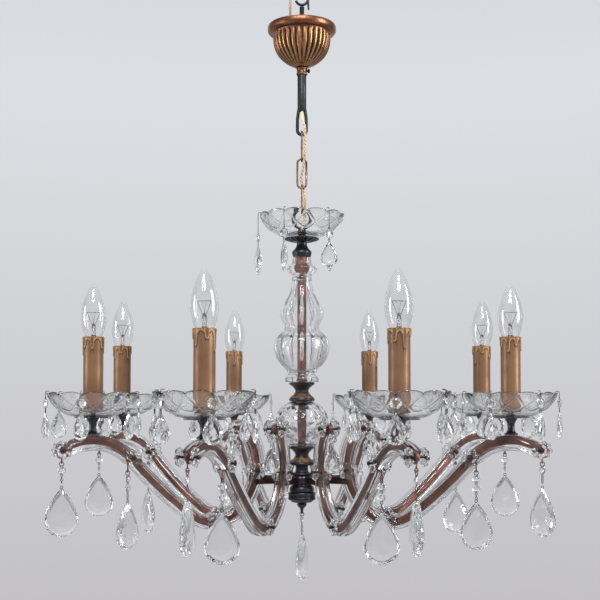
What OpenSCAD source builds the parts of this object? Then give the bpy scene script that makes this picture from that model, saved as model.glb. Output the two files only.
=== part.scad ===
// Eight arm glass chandelier, hung from an iron crook by three chain links.
// Millimetres. Z points up and the origin is the centre of the hanging eye, so
// every level below is a distance under that eye.

/* [Suspension] */
// Radius of the hole in the hanging eye
eye_r = 7; // [6:0.5:8]
// Width of the bar that the eye is bent from
eye_bar = 4; // [3.5:0.5:5]
// Diameter of the plain rod under the eye
rod_d = 7; // [6:0.5:8]
// Outer diameter of the stem tube
stem_d = 13; // [12.5:0.5:13.5]
// Outside length of one chain link
link_length = 46; // [44:1:48]
// Outside width of one chain link
link_width = 16; // [15:0.5:18]
// Diameter of the chain wire
link_wire = 3; // [2.6:0.2:3.2]
// Diameter of the twisted supply flex
flex_d = 4; // [3.6:0.2:4.2]

/* [Canopy] */
// Diameter over the rolled rim of the canopy
canopy_d = 100; // [92:1:104]
// Diameter of the bell under its rim
bell_d = 84; // [80:1:86]
// Height of the canopy from rim to foot
canopy_h = 62; // [58:1:66]
// Thickness of the pressed sheet
sheet_t = 1.5; // [1.2:0.1:1.8]

/* [Arms] */
// Radius at which the arm tips end
tip_r = 342; // [340:1:346]
// Width of the flat iron strip inside an arm
core_w = 10; // [9:0.5:11]
// Thickness of the iron strip
core_t = 4; // [3.6:0.2:4.4]
// Width of the glass strips that clad an arm
clad_w = 21; // [19:0.5:22]
// Thickness of one glass strip
clad_t = 6; // [5:0.5:6.5]
// Diameter of the glass rosettes at the joints
rosette_d = 24; // [22:1:26]

/* [Candles] */
// Diameter of a glass dish
dish_d = 124; // [120:1:126]
// Height of a glass dish
dish_h = 33; // [31:1:34]
// Outer diameter of a candle sleeve
sleeve_d = 27; // [26.5:0.5:28]
// Length of a candle sleeve
sleeve_h = 101; // [96:1:104]
// Diameter of the candle bulb
bulb_d = 35; // [34:0.5:36]

/* [Crystals] */
// Length of a large almond drop
drop_l = 65; // [60:1:66]
// Width of a large almond drop
drop_w = 44; // [40:1:46]
// Length of a small almond drop
small_l = 37; // [34:1:38]
// Width of a small almond drop
small_w = 24; // [22:1:25]
// Number of small drops on each dish
drops_per_dish = 6; // [4:1:6]

/* [Hidden] */
$fn = 64;

// Gaps between pieces that move on each other, and around pins
play = 0.3;
pin_play = 0.1;

// Levels of the suspension
rim_level = -40;
collar_h = 11;
collar_d = 16;
stem_top = -62;
stem_foot = -165;
stem_bore_d = 9.6;
loop_w = 18;
loop_bar = 5;
loop_bottom = -203;
loop_leg_top = -158;
window_top = -65;
window_h = 13;

// Each link hangs under the wire that carries it
link_pitch = link_length - 2 * link_wire - play;
link_1_top = loop_bottom + loop_bar + play + link_wire;
link_2_top = link_1_top - link_pitch;
link_3_top = link_2_top - link_pitch;
ring_wire = 4.5;
ring_d = 29;
ring_top = link_3_top - link_length + link_wire + play + ring_wire;
ring_centre = ring_top - ring_d / 2;

// Levels of the centre column
nipple_d = 14;
nipple_top = ring_centre - ring_d / 2 + ring_wire / 2;
tube_d = 13;
tube_top = -347;
tube_bottom = -724;
upper_dish_level = -350;
leaf_h = 7;
leaf_d = 50;
top_spool_h = 22;
neck_top = -380;
neck_h = 28;
baluster_top = neck_top - neck_h - play;
baluster_h = 152;
upper_spool_top = baluster_top - baluster_h - play;
spool_h = 27;
ball_top = upper_spool_top - spool_h - play;
ball_h = 64;
lower_spool_top = ball_top - ball_h - play;
glass_wall = 4;
nut_top = lower_spool_top - spool_h - play;
hub_top = -693.5;
hub_h = 24;
slot_depth = 13;
cover_h = 15;
finial_h = 13;
hub_d = 36;
cover_d = 40;

// The arm's middle line starts at the tip, heads inwards and follows these
// arcs, each a radius and a turn in degrees, anticlockwise positive
tip_level = -652.5;
tip_heading = 145;
arm_arcs = [[71, 84], [560, -12], [48, -37], [48, -35], [81, -50], [81, -28], [45, -37]];
// First and last arc of each glass strip, and how far it sits outside the iron
clad_runs = [[0, 0], [1, 2], [3, 4], [5, 6]];
clad_shift = [3.5, 1.5, 1.5, 1.5];
// Arc ends at which a pin holds two rosettes
pin_ends = [0, 1, 3, 5, 7];
pin_d = 3;
arc_step = 6;
pin_gap = 2.2;
end_gap = 4;
rosette_t = 5;
arm_start = [tip_r, tip_level, tip_heading];
crest_r = tip_r - arm_arcs[0][0] * sin(tip_heading);
crest_level = tip_level + arm_arcs[0][0] * (1 + cos(tip_heading));
tongue_level = -700;
tongue_end_r = 9;

// Levels of a candle, above the arm's crest
post_h = 24;
post_foot = crest_level + core_w / 2;
plate_d = 50;
plate_t = 1.5;
dish_level = post_foot + post_h + plate_t;
dish_floor = 6;
holder_d = 22;
holder_h = 86;
sleeve_level = dish_level + dish_floor;
bulb_upper = 48;
bulb_lower = 31;
bulb_sink = 23;
bulb_wall = 1;

// Crystals
bead_d = 12;
small_bead_d = 14;
drop_t = 12;
small_t = 8;
bead_t = 6;
lug_w = 6;
lug_t = 2;
lug_hole_d = 3;
ring_r = 3;
tip_hole_level = tip_level - 15;
joint_hole_level = tip_level - 29;
joint_hole_out = 6;
wire_d = 1.2;
// Turn of each large drop from the plane of its arm, and of each ring of small drops
tip_turn = [-28, -15, 5, 30, 0, 13, -15, -35];
joint_turn = [-3, 70, -40, -38, 39, -67, 67, 22];
dish_turn = [10, 40, 25, 60, -3, 14, -9, 25];
upper_turn = -23;
centre_turn = 75;

// Points of the flex, from the terminal block down to the centre tube
route_top = [[-17, 2, 3.7], [-17, 2, -20], [-15, 1, -42], [-12, 0, -58], [-7, 0, -68], [-2, 0, -75],
    [0, 0, -84], [0, 0, -105], [0, 0, -130], [0, 0, -152], [0, -1, -164], [0, -4, -173],
    [1, -7.5, -181], [3, -8.5, -187], [4.4, -8, -192]];
route_a = [[4.4, -5, -208], [4.4, -2.5, -218], [4.4, -3, -227]];
route_b = [[1.5, -2.5, -250], [0, 0, -257], [-1.5, 2.5, -264]];
route_c = [[4.4, 1.5, -288], [4.4, 0, -296], [4.4, -2, -303]];
route_end = [[4, -6, -324], [4, -7.5, -330], [2.5, -9.5, -335], [0.5, -9.2, -340], [0, -5, -344.5]];

// --- Paths and outlines ---

// Middle of an arc that leaves pose p = [r, z, heading] with radius and turn a
function arc_middle(p, a) = [
    p[0] - sign(a[1]) * a[0] * sin(p[2]),
    p[1] + sign(a[1]) * a[0] * cos(p[2])
];

// Pose at the end of such an arc
function arc_end(p, a) =
    let (m = arc_middle(p, a), h = p[2] + a[1], s = sign(a[1]))
    [m[0] + s * a[0] * sin(h), m[1] - s * a[0] * cos(h), h];

// Pose after the first n arcs of the arm
function arm_pose(n) = n == 0 ? arm_start : arc_end(arm_pose(n - 1), arm_arcs[n - 1]);

// Turn, with its sign, that runs a length along arc a
function turn_for(a, length) = sign(a[1]) * length / a[0] * 180 / PI;

// Poses along arcs first to last, with a signed turn left out at either end
function run_poses(first, last, skip, cut) = [
    for (k = [first : last])
        let (
            a = arm_arcs[k],
            from = k == first ? skip : 0,
            to = a[1] - (k == last ? cut : 0),
            n = ceil(abs(to - from) * PI / 180 * a[0] / arc_step)
        )
        for (j = [k == first ? 0 : 1 : n])
            arc_end(arm_pose(k), [a[0], from + (to - from) * j / n])
];

// Outline of a strip along such poses, between two distances to the left of them
function band(poses, low, high) = concat(
    [for (p = poses) [p[0] - high * sin(p[2]), p[1] + high * cos(p[2])]],
    [for (i = [len(poses) - 1 : -1 : 0])
        [poses[i][0] - low * sin(poses[i][2]), poses[i][1] + low * cos(poses[i][2])]]
);

// Azimuth of arm i, counted from 1
function arm_angle(i) = 22.5 + 45 * (i - 1);

// Outline of an almond, point up, its top at the origin
function almond(l, w, n) = [
    for (i = [0 : n - 1])
        let (t = 360 * i / n)
        [w / 2 * sin(t) * abs(sin(t / 2)) / 0.77, -l / 2 + l / 2 * cos(t)]
];

// Half profile of a bulb, its widest place at the origin
function bulb_line(r, n) = [
    for (i = [0 : n])
        let (t = 90 * i / n)
        [r * cos(t), bulb_upper / (bulb_d / 2) * r * sin(t)]
];

// Lower half of that profile, down to the neck
function bulb_foot(r, n) = [
    for (i = [0 : n])
        let (t = 54 * i / n)
        [r * cos(54 - t), -bulb_lower / (bulb_d / 2) * r * sin(54 - t)]
];

// Sample points of a smooth line through points p, n to each stretch
function smooth_line(p, n) = [
    for (i = [0 : len(p) - 2], k = [0 : n - 1]) smooth_point(p, i, k / n),
    p[len(p) - 1]
];

function smooth_point(p, i, t) =
    let (a = p[max(i - 1, 0)], b = p[i], c = p[i + 1], d = p[min(i + 2, len(p) - 1)])
    0.5 * (2 * b + (c - a) * t + (2 * a - 5 * b + 4 * c - d) * t * t
        + (3 * b - a - 3 * c + d) * t * t * t);

function unit(v) = v / norm(v);

// --- Shared shapes ---

// A round tube swept along a smooth line through the points
module swept_tube(points, d, sides = 8, steps = 2) {
    line = smooth_line(points, steps);
    last = len(line) - 1;
    rings = [
        for (i = [0 : last])
            let (
                along = unit(line[min(i + 1, last)] - line[max(i - 1, 0)]),
                side = unit(cross(along, [0.2, 1, 0.1])),
                up = cross(side, along)
            )
            for (k = [0 : sides - 1])
                line[i] + d / 2 * (cos(360 * k / sides) * side + sin(360 * k / sides) * up)
    ];
    walls = [
        for (i = [0 : last - 1], k = [0 : sides - 1])
            let (a = i * sides + k, b = i * sides + (k + 1) % sides)
            [a, a + sides, b + sides, b]
    ];
    start = [for (k = [0 : sides - 1]) k];
    finish = [for (k = [0 : sides - 1]) last * sides + sides - 1 - k];
    polyhedron(points = rings, faces = concat([start], walls, [finish]));
}

// An oval of round bar standing across Y, its outside top at the origin
module oval(length, width, bar, open_top = false) {
    r = (width - bar) / 2;
    straight = length - width;
    translate([0, 0, -width / 2]) {
        for (up = open_top ? [0] : [0, 1])
            translate([0, 0, (up - 1) * straight])
                rotate([90, 0, 0])
                rotate([0, 0, up ? 0 : 180])
                rotate_extrude(angle = 180)
                translate([r, 0])
                circle(d = bar, $fn = 32);
        for (side = [-1, 1])
            translate([side * r, 0, -straight])
                cylinder(d = bar, h = straight, $fn = 32);
    }
}

// A turned piece on the column, from a half profile, with a hole for the tube
module turned(points, bore_d = tube_d + 2 * pin_play) {
    difference() {
        rotate_extrude() polygon(points);
        translate([0, 0, -200])
            cylinder(d = bore_d, h = 400);
    }
}

// A flared spool with its top face at the origin
module spool(d, waist, h) {
    turned([
        [0, 0], [d / 2, 0], [d / 2, -3], [d / 2 - 3, -5], [waist / 2 + 1, -h * 0.36],
        [waist / 2, -h * 0.46], [waist / 2 + 1, -h * 0.56], [d / 2 - 4, -h + 6],
        [d / 2, -h + 4], [d / 2, -h], [0, -h]
    ]);
}

// A glass dish, its underside at the origin
module dish() {
    r = dish_d / 2;
    difference() {
        rotate_extrude($fn = 96)
            polygon([
                [0, 0], [25, 0], [34, 3], [44, 9], [52, 17], [r - 5, 25], [r, dish_h],
                [r - 3, dish_h], [r - 8.5, 26], [48, 20], [40, 12.5], [31, 7], [24, dish_floor - 1],
                [0, dish_floor - 1]
            ]);
        translate([0, 0, -1])
            cylinder(d = nipple_d + 2 * pin_play, h = dish_h);
    }
}

// A flat almond drop with its top at the origin
module almond_drop(l, w, t, n) {
    rotate([90, 0, 0])
        linear_extrude(height = t, center = true)
        polygon(almond(l, w, n));
}

// An octagon bead, its middle at the origin
module bead(d, t) {
    rotate([90, 22.5, 0])
        cylinder(d = d, h = t, center = true, $fn = 8);
}

// The ring that a large drop hangs by, its wire's top at the origin, across X
module wire_ring() {
    translate([0, 0, -ring_r])
        rotate([90, 0, 0])
        rotate_extrude()
        translate([ring_r, 0])
        circle(d = wire_d, $fn = 16);
}

// A large drop under a hanging hole: ring, wire, beads and almond
module hung_drop(bead_drops, almond_drop_by, turn) {
    wire_ring();
    translate([0, 0, -almond_drop_by - 4])
        cylinder(d = wire_d, h = almond_drop_by + 4 - 2 * ring_r, $fn = 16);
    rotate([0, 0, turn]) {
        for (drop = bead_drops)
            translate([0, 0, -drop])
                bead(bead_d - 1, bead_t);
        translate([0, 0, -almond_drop_by])
            almond_drop(drop_l, drop_w, drop_t, 24);
    }
}

// A small drop on a wire that rises to a hook reaching back towards its holder
module small_drop(bead_at, top_at, hook_at, reach) {
    translate([0, 0, bead_at])
        bead(small_bead_d, bead_t);
    translate([0, 0, top_at])
        almond_drop(small_l, small_w, small_t, 14);
    translate([0, 0, top_at - 3])
        cylinder(d = wire_d, h = hook_at - top_at + 3 + wire_d / 2, $fn = 16);
    translate([0, 0, hook_at])
        rotate([-90, 0, 0])
        cylinder(d = wire_d, h = reach, $fn = 16);
}

// Small drops in some of the places around a dish whose underside is at the origin
module drop_circle(turn, places, bead_at, top_at, with_ball) {
    for (k = places)
        rotate([0, 0, turn + 360 * k / drops_per_dish])
            translate([0, -dish_d / 2 - 1.5, 0]) {
                small_drop(bead_at, top_at, dish_h + wire_d / 2 + play, 5);
                if (with_ball)
                    translate([0, 0, top_at - small_l - 2.6])
                        sphere(d = 6, $fn = 24);
            }
}

module at_arm(i) {
    rotate([0, 0, arm_angle(i)])
        children();
}

module at_candles() {
    for (i = [1 : 8])
        at_arm(i)
            translate([crest_r, 0, 0])
            children();
}

// --- Suspension ---

module suspension_stem() {
    color([0.16, 0.16, 0.18]) {
        difference() {
            union() {
                rotate([90, 0, 0])
                    linear_extrude(height = eye_bar, center = true)
                    difference() {
                        circle(r = eye_r + eye_bar);
                        circle(r = eye_r);
                        polygon([[0, 0], [6, -30], [20, -22]]);
                    }
                // Straight tail of the crook
                translate([eye_r + eye_bar / 2, 0, -8])
                    rotate([0, -8, 0])
                    translate([-eye_bar / 2, -eye_bar / 2, -9])
                    cube([eye_bar - 1, eye_bar, 13]);
                translate([0, 0, stem_top])
                    cylinder(d = rod_d, h = -stem_top - eye_r - 1);
                translate([0, 0, stem_foot])
                    cylinder(d = stem_d, h = stem_top - stem_foot);
                // Long eye that carries the chain
                translate([0, 0, loop_leg_top + loop_w / 2])
                    oval(loop_leg_top + loop_w / 2 - loop_bottom, loop_w, loop_bar, true);
            }
            // Way for the flex: up the tube and out at a window in its left side
            translate([0, 0, stem_foot - 10])
                cylinder(d = stem_bore_d, h = stem_top - stem_foot + 7);
            translate([-stem_d, -stem_bore_d / 2, window_top - window_h])
                cube([stem_d, stem_bore_d, window_h]);
        }
    }
}

module terminal_block() {
    color([0.9, 0.88, 0.82])
        translate([-29, -5, 4])
        difference() {
            cube([16, 12, 14]);
            for (x = [4, 12])
                translate([x, 6, 7.5])
                    cylinder(d = 4, h = 7);
        }
}

module canopy() {
    rim_r = canopy_d / 2;
    r = bell_d / 2;
    color([0.62, 0.38, 0.22])
        translate([0, 0, rim_level])
        rotate_extrude($fn = 96)
            polygon([
                [rim_r - 4, 0], [rim_r - 1, -2], [rim_r, -6], [rim_r - 1, -10], [rim_r - 4, -12],
                [r, -13], [r - 0.5, -24], [r - 3, -34], [r - 8, -43], [r - 15, -51],
                [r - 24, -57], [r - 32, -canopy_h + 1], [r - 34, -canopy_h],
                [stem_d / 2 + pin_play, -canopy_h], [stem_d / 2 + pin_play, -canopy_h + sheet_t],
                [r - 33, -canopy_h + sheet_t + 0.8], [r - 24.6, -57 + sheet_t],
                [r - 16, -51 + sheet_t], [r - 9.2, -43 + sheet_t], [r - 4.4, -33],
                [r - 2, -23], [r - sheet_t, -12], [rim_r - 5, -10.5], [rim_r - 2.2, -9],
                [rim_r - 1.5, -6], [rim_r - 2.2, -3], [rim_r - 5, -1.5]
            ]);
}

module canopy_collar() {
    color([0.55, 0.36, 0.2])
        translate([0, 0, rim_level - canopy_h - collar_h - play])
        difference() {
            cylinder(d = collar_d, h = collar_h);
            translate([0, 0, -1])
                cylinder(d = stem_d + 2 * pin_play, h = collar_h + 2);
            // Thread of the side screw
            translate([0, 0, collar_h / 2 + 1])
                rotate([0, 90, 0])
                cylinder(d = 3.2, h = 20, $fn = 32);
        }
}

module canopy_screw() {
    color([0.3, 0.22, 0.15])
        translate([0, 0, rim_level - canopy_h - collar_h / 2 + 1 - play])
        rotate([0, 90, 0]) {
            translate([0, 0, stem_d / 2 + 0.3])
                cylinder(d = 3, h = 4, $fn = 32);
            translate([0, 0, collar_d / 2 + 0.4])
                cylinder(d = 6, h = 3.6, $fn = 32);
        }
}

module chain_link(top, across) {
    color([0.66, 0.5, 0.3])
        translate([0, 0, top])
        rotate([0, 0, across])
        oval(link_length, link_width, link_wire);
}

module flex(points) {
    color([0.72, 0.58, 0.34])
        swept_tube(points, flex_d);
}

// --- Centre column ---

module top_eye() {
    color([0.2, 0.16, 0.13]) {
        difference() {
            union() {
                translate([0, 0, ring_centre])
                    rotate([90, 0, 0])
                    rotate_extrude()
                    translate([(ring_d - ring_wire) / 2, 0])
                    circle(d = ring_wire, $fn = 32);
                translate([0, 0, tube_top + play])
                    cylinder(d = nipple_d - 1, h = nipple_top - tube_top);
            }
            // Where the flex enters
            translate([-flex_d / 2 - 0.8, -nipple_d, tube_top - 1])
                cube([flex_d + 1.6, nipple_d - 1.5, 9.5]);
        }
    }
}

module centre_tube() {
    color([0.6, 0.33, 0.22])
        translate([0, 0, tube_bottom])
        difference() {
            cylinder(d = tube_d, h = tube_top - tube_bottom);
            translate([0, 0, -1])
                cylinder(d = tube_d - 3, h = tube_top - tube_bottom + 2);
        }
}

module upper_dish() {
    color([0.85, 0.9, 0.9, 0.6])
        translate([0, 0, upper_dish_level])
        dish();
}

module top_spool() {
    r = leaf_d / 2;
    color([0.2, 0.17, 0.14])
        translate([0, 0, upper_dish_level - play]) {
            turned([[0, 0], [12, 0], [r, -2], [r, -3], [12, -leaf_h], [0, -leaf_h]]);
            translate([0, 0, -leaf_h - play])
                turned([
                    [0, 0], [7.5, 0], [7, -4], [9, -8], [14, -13], [14.5, -17], [13, -20],
                    [13, -top_spool_h], [0, -top_spool_h]
                ]);
        }
}

module neck_glass() {
    color([0.85, 0.9, 0.9, 0.6])
        translate([0, 0, neck_top])
        turned([
            [0, 0], [14, 0], [14.5, -8], [20, -13], [22, -17], [20, -21], [15, -24],
            [14.5, -neck_h], [0, -neck_h]
        ]);
}

module baluster_glass() {
    w = glass_wall;
    color([0.85, 0.9, 0.9, 0.6])
        translate([0, 0, baluster_top])
        difference() {
            rotate_extrude($fn = 96)
                polygon([
                    [0, 0], [14.5, 0], [15, -12], [19, -26], [26, -38], [31, -48], [32, -54],
                    [30, -61], [26.5, -68], [25, -73], [26, -78], [33, -84], [38.5, -91],
                    [41, -99], [40, -108], [36, -118], [29, -128], [22, -135], [20, -140],
                    [24, -145], [24, -baluster_h], [0, -baluster_h]
                ]);
            rotate_extrude($fn = 96)
                polygon([
                    [0, -10], [15 - w, -14], [19 - w, -27], [26 - w, -40], [31 - w, -49],
                    [31.8 - w, -54], [30 - w, -60], [26.5 - w, -67], [25 - w, -73], [26 - w, -79],
                    [33 - w, -86], [38 - w, -92], [40.8 - w, -99], [39.6 - w, -107],
                    [35.4 - w, -116], [28 - w, -126], [21 - w, -132], [0, -138]
                ]);
            translate([0, 0, -200])
                cylinder(d = tube_d + 2 * pin_play, h = 400);
        }
}

module upper_spool() {
    color([0.13, 0.13, 0.16])
        translate([0, 0, upper_spool_top])
        spool(37, 19, spool_h);
}

module ball_glass() {
    w = glass_wall + 1;
    color([0.85, 0.9, 0.9, 0.6])
        translate([0, 0, ball_top])
        difference() {
            rotate_extrude($fn = 96)
                polygon([
                    [0, 0], [15, 0], [22, -3], [30, -9], [36, -18], [38.5, -29], [37, -40],
                    [32, -50], [25, -58], [17, -ball_h], [0, -ball_h]
                ]);
            rotate_extrude($fn = 96)
                polygon([
                    [0, -6], [15, -6], [22 - w / 2, -9], [30 - w, -14], [36 - w, -21],
                    [38.5 - w, -29], [37 - w, -38], [32 - w, -47], [25 - w, -54], [14, -59],
                    [0, -59]
                ]);
            translate([0, 0, -200])
                cylinder(d = tube_d + 2 * pin_play, h = 400);
        }
}

module lower_spool() {
    color([0.13, 0.13, 0.16])
        translate([0, 0, lower_spool_top])
        spool(36, 19, spool_h);
}

module clamp_nut() {
    h = nut_top - hub_top - play;
    color([0.2, 0.17, 0.14])
        translate([0, 0, nut_top])
        turned([[0, 0], [9, 0], [9.5, -h + 4], [14, -h + 2.5], [14, -h], [0, -h]]);
}

module arm_hub() {
    color([0.2, 0.17, 0.14])
        translate([0, 0, hub_top])
        difference() {
            turned([
                [0, 0], [15, 0], [hub_d / 2, -3], [hub_d / 2, -hub_h + 4],
                [hub_d / 2 - 2, -hub_h], [0, -hub_h]
            ]);
            for (i = [1 : 8])
                at_arm(i)
                    translate([tongue_end_r - 0.6, -core_t / 2 - pin_play, -slot_depth])
                    cube([hub_d, core_t + 2 * pin_play, slot_depth + 1]);
        }
}

module hub_cover() {
    r = cover_d / 2;
    color([0.2, 0.17, 0.14])
        translate([0, 0, hub_top - hub_h - play])
        difference() {
            rotate_extrude()
                polygon([[0, 0], [r - 1, 0], [r, -2], [r, -cover_h + 4], [r - 6, -cover_h], [0, -cover_h]]);
            translate([0, 0, -7])
                cylinder(d = tube_d + 2 * pin_play, h = 8);
            translate([0, 0, -cover_h - 1])
                cylinder(d = 5, h = cover_h);
        }
}

module finial() {
    color([0.16, 0.13, 0.11])
        translate([0, 0, hub_top - hub_h - cover_h - 2 * play]) {
            rotate_extrude()
                polygon([[0, 0], [6, 0], [7, -3], [5, -6], [3, -8], [2.4, 3.6 - finial_h], [0, 3.6 - finial_h]]);
            cylinder(d = 4.6, h = 7);
            translate([0, 0, -finial_h])
                lug(0, 0);
        }
}

// --- Arms ---

// A small flat eye that a large drop hangs from, on a shank as thin as the arm
module lug(r, level, rise = 4) {
    translate([r, 0, level])
        difference() {
            union() {
                rotate([0, 90, 0])
                    cylinder(d = lug_w, h = lug_t, center = true, $fn = 32);
                translate([-lug_t / 2, 0.2 - core_t / 2, 0])
                    cube([lug_t, core_t - 0.4, rise]);
            }
            rotate([0, 90, 0])
                cylinder(d = lug_hole_d, h = 2 * lug_t, center = true, $fn = 32);
        }
}

module arm(i) {
    joint_pose = arm_pose(1);
    color([0.5, 0.3, 0.24])
        at_arm(i) {
            rotate([90, 0, 0])
                linear_extrude(height = core_t, center = true)
                difference() {
                    union() {
                        polygon(band(run_poses(0, 6, 0, 0), -core_w / 2, core_w / 2));
                        for (k = pin_ends)
                            translate([arm_pose(k)[0], arm_pose(k)[1]])
                                circle(d = core_w + 1);
                        // Tongue that drops into the hub
                        translate([tongue_end_r, tongue_level - core_w / 2])
                            square([arm_pose(5)[0] + 3 - tongue_end_r, core_w]);
                    }
                    for (k = pin_ends)
                        translate([arm_pose(k)[0], arm_pose(k)[1]])
                            circle(d = pin_d + 2 * pin_play, $fn = 32);
                }
            lug(tip_r, tip_hole_level, tip_level - tip_hole_level - 3);
            lug(joint_pose[0] + joint_hole_out, joint_hole_level, joint_pose[1] - joint_hole_level + 3);
        }
}

// One glass strip: its arcs, cut short at both ends to clear the pins
module clad_strip(run) {
    first = clad_runs[run][0];
    last = clad_runs[run][1];
    skip = turn_for(arm_arcs[first], run == 0 ? end_gap : pin_gap);
    cut = turn_for(arm_arcs[last], run == 3 ? end_gap : pin_gap);
    shift = clad_shift[run];
    rotate([90, 0, 0])
        linear_extrude(height = clad_t, center = true)
        polygon(band(run_poses(first, last, skip, cut), shift - clad_w / 2, shift + clad_w / 2));
}

module arm_glass() {
    color([0.85, 0.9, 0.9, 0.6])
        for (i = [1 : 8], side = [-1, 1], run = [0 : 3])
            at_arm(i)
                translate([0, side * (core_t + clad_t + 0.1) / 2, 0])
                clad_strip(run);
}

module rosettes() {
    near = core_t / 2 + clad_t + 0.2;
    color([0.85, 0.9, 0.9, 0.6])
        for (i = [1 : 8], side = [0, 180], k = pin_ends)
            at_arm(i)
                translate([arm_pose(k)[0], 0, arm_pose(k)[1]])
                rotate([side + 90, 0, 0])
                translate([0, 0, near])
                difference() {
                    cylinder(d1 = rosette_d, d2 = rosette_d * 0.55, h = rosette_t, $fn = 32);
                    translate([0, 0, -1])
                        cylinder(d = pin_d + 2 * pin_play, h = rosette_t + 2, $fn = 32);
                }
}

module rosette_pins() {
    half = core_t / 2 + clad_t + rosette_t + 0.4;
    color([0.5, 0.36, 0.2])
        for (i = [1 : 8], k = pin_ends)
            at_arm(i)
                translate([arm_pose(k)[0], 0, arm_pose(k)[1]])
                rotate([90, 0, 0]) {
                    cylinder(d = pin_d, h = 2 * half, center = true, $fn = 32);
                    for (end = [-1, 1])
                        translate([0, 0, end * (half + 1.5)])
                            cylinder(d = 5.6, h = 3, center = true, $fn = 32);
                }
}

// --- Candles ---

module candle_posts() {
    color([0.14, 0.12, 0.11])
        at_candles()
            translate([0, 0, post_foot]) {
                difference() {
                    rotate_extrude()
                        polygon([
                            [0, 0], [10, 0], [9, 1.5], [5.5, 5], [5, 9], [5, post_h - 5],
                            [7, post_h - 2], [8, post_h], [0, post_h]
                        ]);
                    // Saddle over the crest of the arm and between its glass strips
                    for (side = [-1, 1])
                        translate([-15, side > 0 ? core_t / 2 : -core_t / 2 - 12, -1])
                            cube([30, 12, 4]);
                    translate([-15, -core_t, -1])
                        cube([30, 2 * core_t, 1.2]);
                    cylinder(d = 5, h = 60, $fn = 32);
                }
                // Nipple that the plate, the dish and the holder are screwed on
                translate([0, 0, post_h])
                    difference() {
                        cylinder(d = 9, h = plate_t + dish_floor + 6, $fn = 32);
                        translate([0, 0, -1])
                            cylinder(d = 5, h = 30, $fn = 32);
                    }
                translate([0, 0, post_h])
                    difference() {
                        rotate_extrude($fn = 96)
                            polygon([
                                [0, 0], [20, 0], [plate_d / 2, plate_t - 1], [plate_d / 2, plate_t - 0.2],
                                [plate_d / 2 - 3, plate_t], [0, plate_t]
                            ]);
                        translate([0, 0, -1])
                            cylinder(d = 8, h = 5);
                    }
            }
}

module dishes() {
    color([0.85, 0.9, 0.9, 0.6])
        at_candles()
            translate([0, 0, dish_level])
            translate([0, 0, play])
            dish();
}

module lamp_holders() {
    color([0.9, 0.88, 0.8])
        at_candles()
            translate([0, 0, dish_level + dish_floor + play])
            difference() {
                cylinder(d = holder_d, h = holder_h);
                translate([0, 0, -1])
                    cylinder(d = 9 + 2 * pin_play, h = 9);
                translate([0, 0, holder_h - 24])
                    cylinder(d = 14.4, h = 25);
            }
}

module candle_sleeves() {
    color([0.62, 0.42, 0.24])
        at_candles()
            translate([0, 0, sleeve_level])
            difference() {
                cylinder(d = sleeve_d, h = sleeve_h, $fn = 96);
                translate([0, 0, -1])
                    cylinder(d = sleeve_d - 2.6, h = sleeve_h + 2, $fn = 96);
            }
}

module bulbs() {
    r = bulb_d / 2;
    inner = r - bulb_wall;
    color([0.92, 0.95, 0.96, 0.4])
        at_candles()
            translate([0, 0, sleeve_level + sleeve_h + bulb_sink]) {
                rotate_extrude()
                    polygon(concat(
                        bulb_foot(r, 8), bulb_line(r, 16),
                        [for (k = [16 : -1 : 0]) bulb_line(inner, 16)[k]],
                        [for (k = [8 : -1 : 0]) bulb_foot(inner, 8)[k]]
                    ));
                // Screw cap, closed by the stem press
                translate([0, 0, -bulb_lower * 0.81 - 22])
                    cylinder(d = 13.8, h = 21.5);
            }
}

// --- Crystals ---

module small_drops() {
    scroll = arm_pose(7);
    color([0.85, 0.9, 0.9, 0.6]) {
        translate([0, 0, upper_dish_level])
            drop_circle(upper_turn, [-1 : 1], -3, -14, true);
        for (i = [1 : 8])
            at_arm(i) {
                translate([crest_r, 0, dish_level + play])
                    rotate([0, 0, dish_turn[i - 1] - arm_angle(i)])
                    drop_circle(0, [0 : drops_per_dish - 1], 18, 7, false);
                translate([scroll[0] + 11, 0, scroll[1]])
                    rotate([0, 0, 90])
                    small_drop(-13, -24, 0, 5.5);
            }
    }
}

module tip_drop(i) {
    color([0.85, 0.9, 0.9, 0.6])
        at_arm(i)
            translate([tip_r, 0, tip_hole_level])
            hung_drop([11], 34, tip_turn[i - 1]);
}

module joint_drop(i) {
    joint_pose = arm_pose(1);
    color([0.85, 0.9, 0.9, 0.6])
        at_arm(i)
            translate([joint_pose[0] + joint_hole_out, 0, joint_hole_level])
            hung_drop([11, 24], 41, joint_turn[i - 1]);
}

module centre_drop() {
    color([0.85, 0.9, 0.9, 0.6])
        translate([0, 0, hub_top - hub_h - cover_h - 2 * play - finial_h])
        hung_drop([11], 32, centre_turn);
}

suspension_stem();
terminal_block();
canopy();
canopy_collar();
canopy_screw();
chain_link(link_1_top, 90);  // chain_link_1
chain_link(link_2_top, 0);  // chain_link_2
chain_link(link_3_top, 90);  // chain_link_3
flex(route_top);  // flex_top
flex(route_a);  // flex_a
flex(route_b);  // flex_b
flex(route_c);  // flex_c
flex(route_end);  // flex_end
top_eye();
centre_tube();
upper_dish();
top_spool();
neck_glass();
baluster_glass();
upper_spool();
ball_glass();
lower_spool();
clamp_nut();
arm_hub();
hub_cover();
finial();
centre_drop();
arm(1);  // arm_1
arm(2);  // arm_2
arm(3);  // arm_3
arm(4);  // arm_4
arm(5);  // arm_5
arm(6);  // arm_6
arm(7);  // arm_7
arm(8);  // arm_8
arm_glass();
rosettes();
rosette_pins();
candle_posts();
dishes();
lamp_holders();
candle_sleeves();
bulbs();
small_drops();
tip_drop(1);  // tip_drop_1
tip_drop(2);  // tip_drop_2
tip_drop(3);  // tip_drop_3
tip_drop(4);  // tip_drop_4
tip_drop(5);  // tip_drop_5
tip_drop(6);  // tip_drop_6
tip_drop(7);  // tip_drop_7
tip_drop(8);  // tip_drop_8
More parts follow.
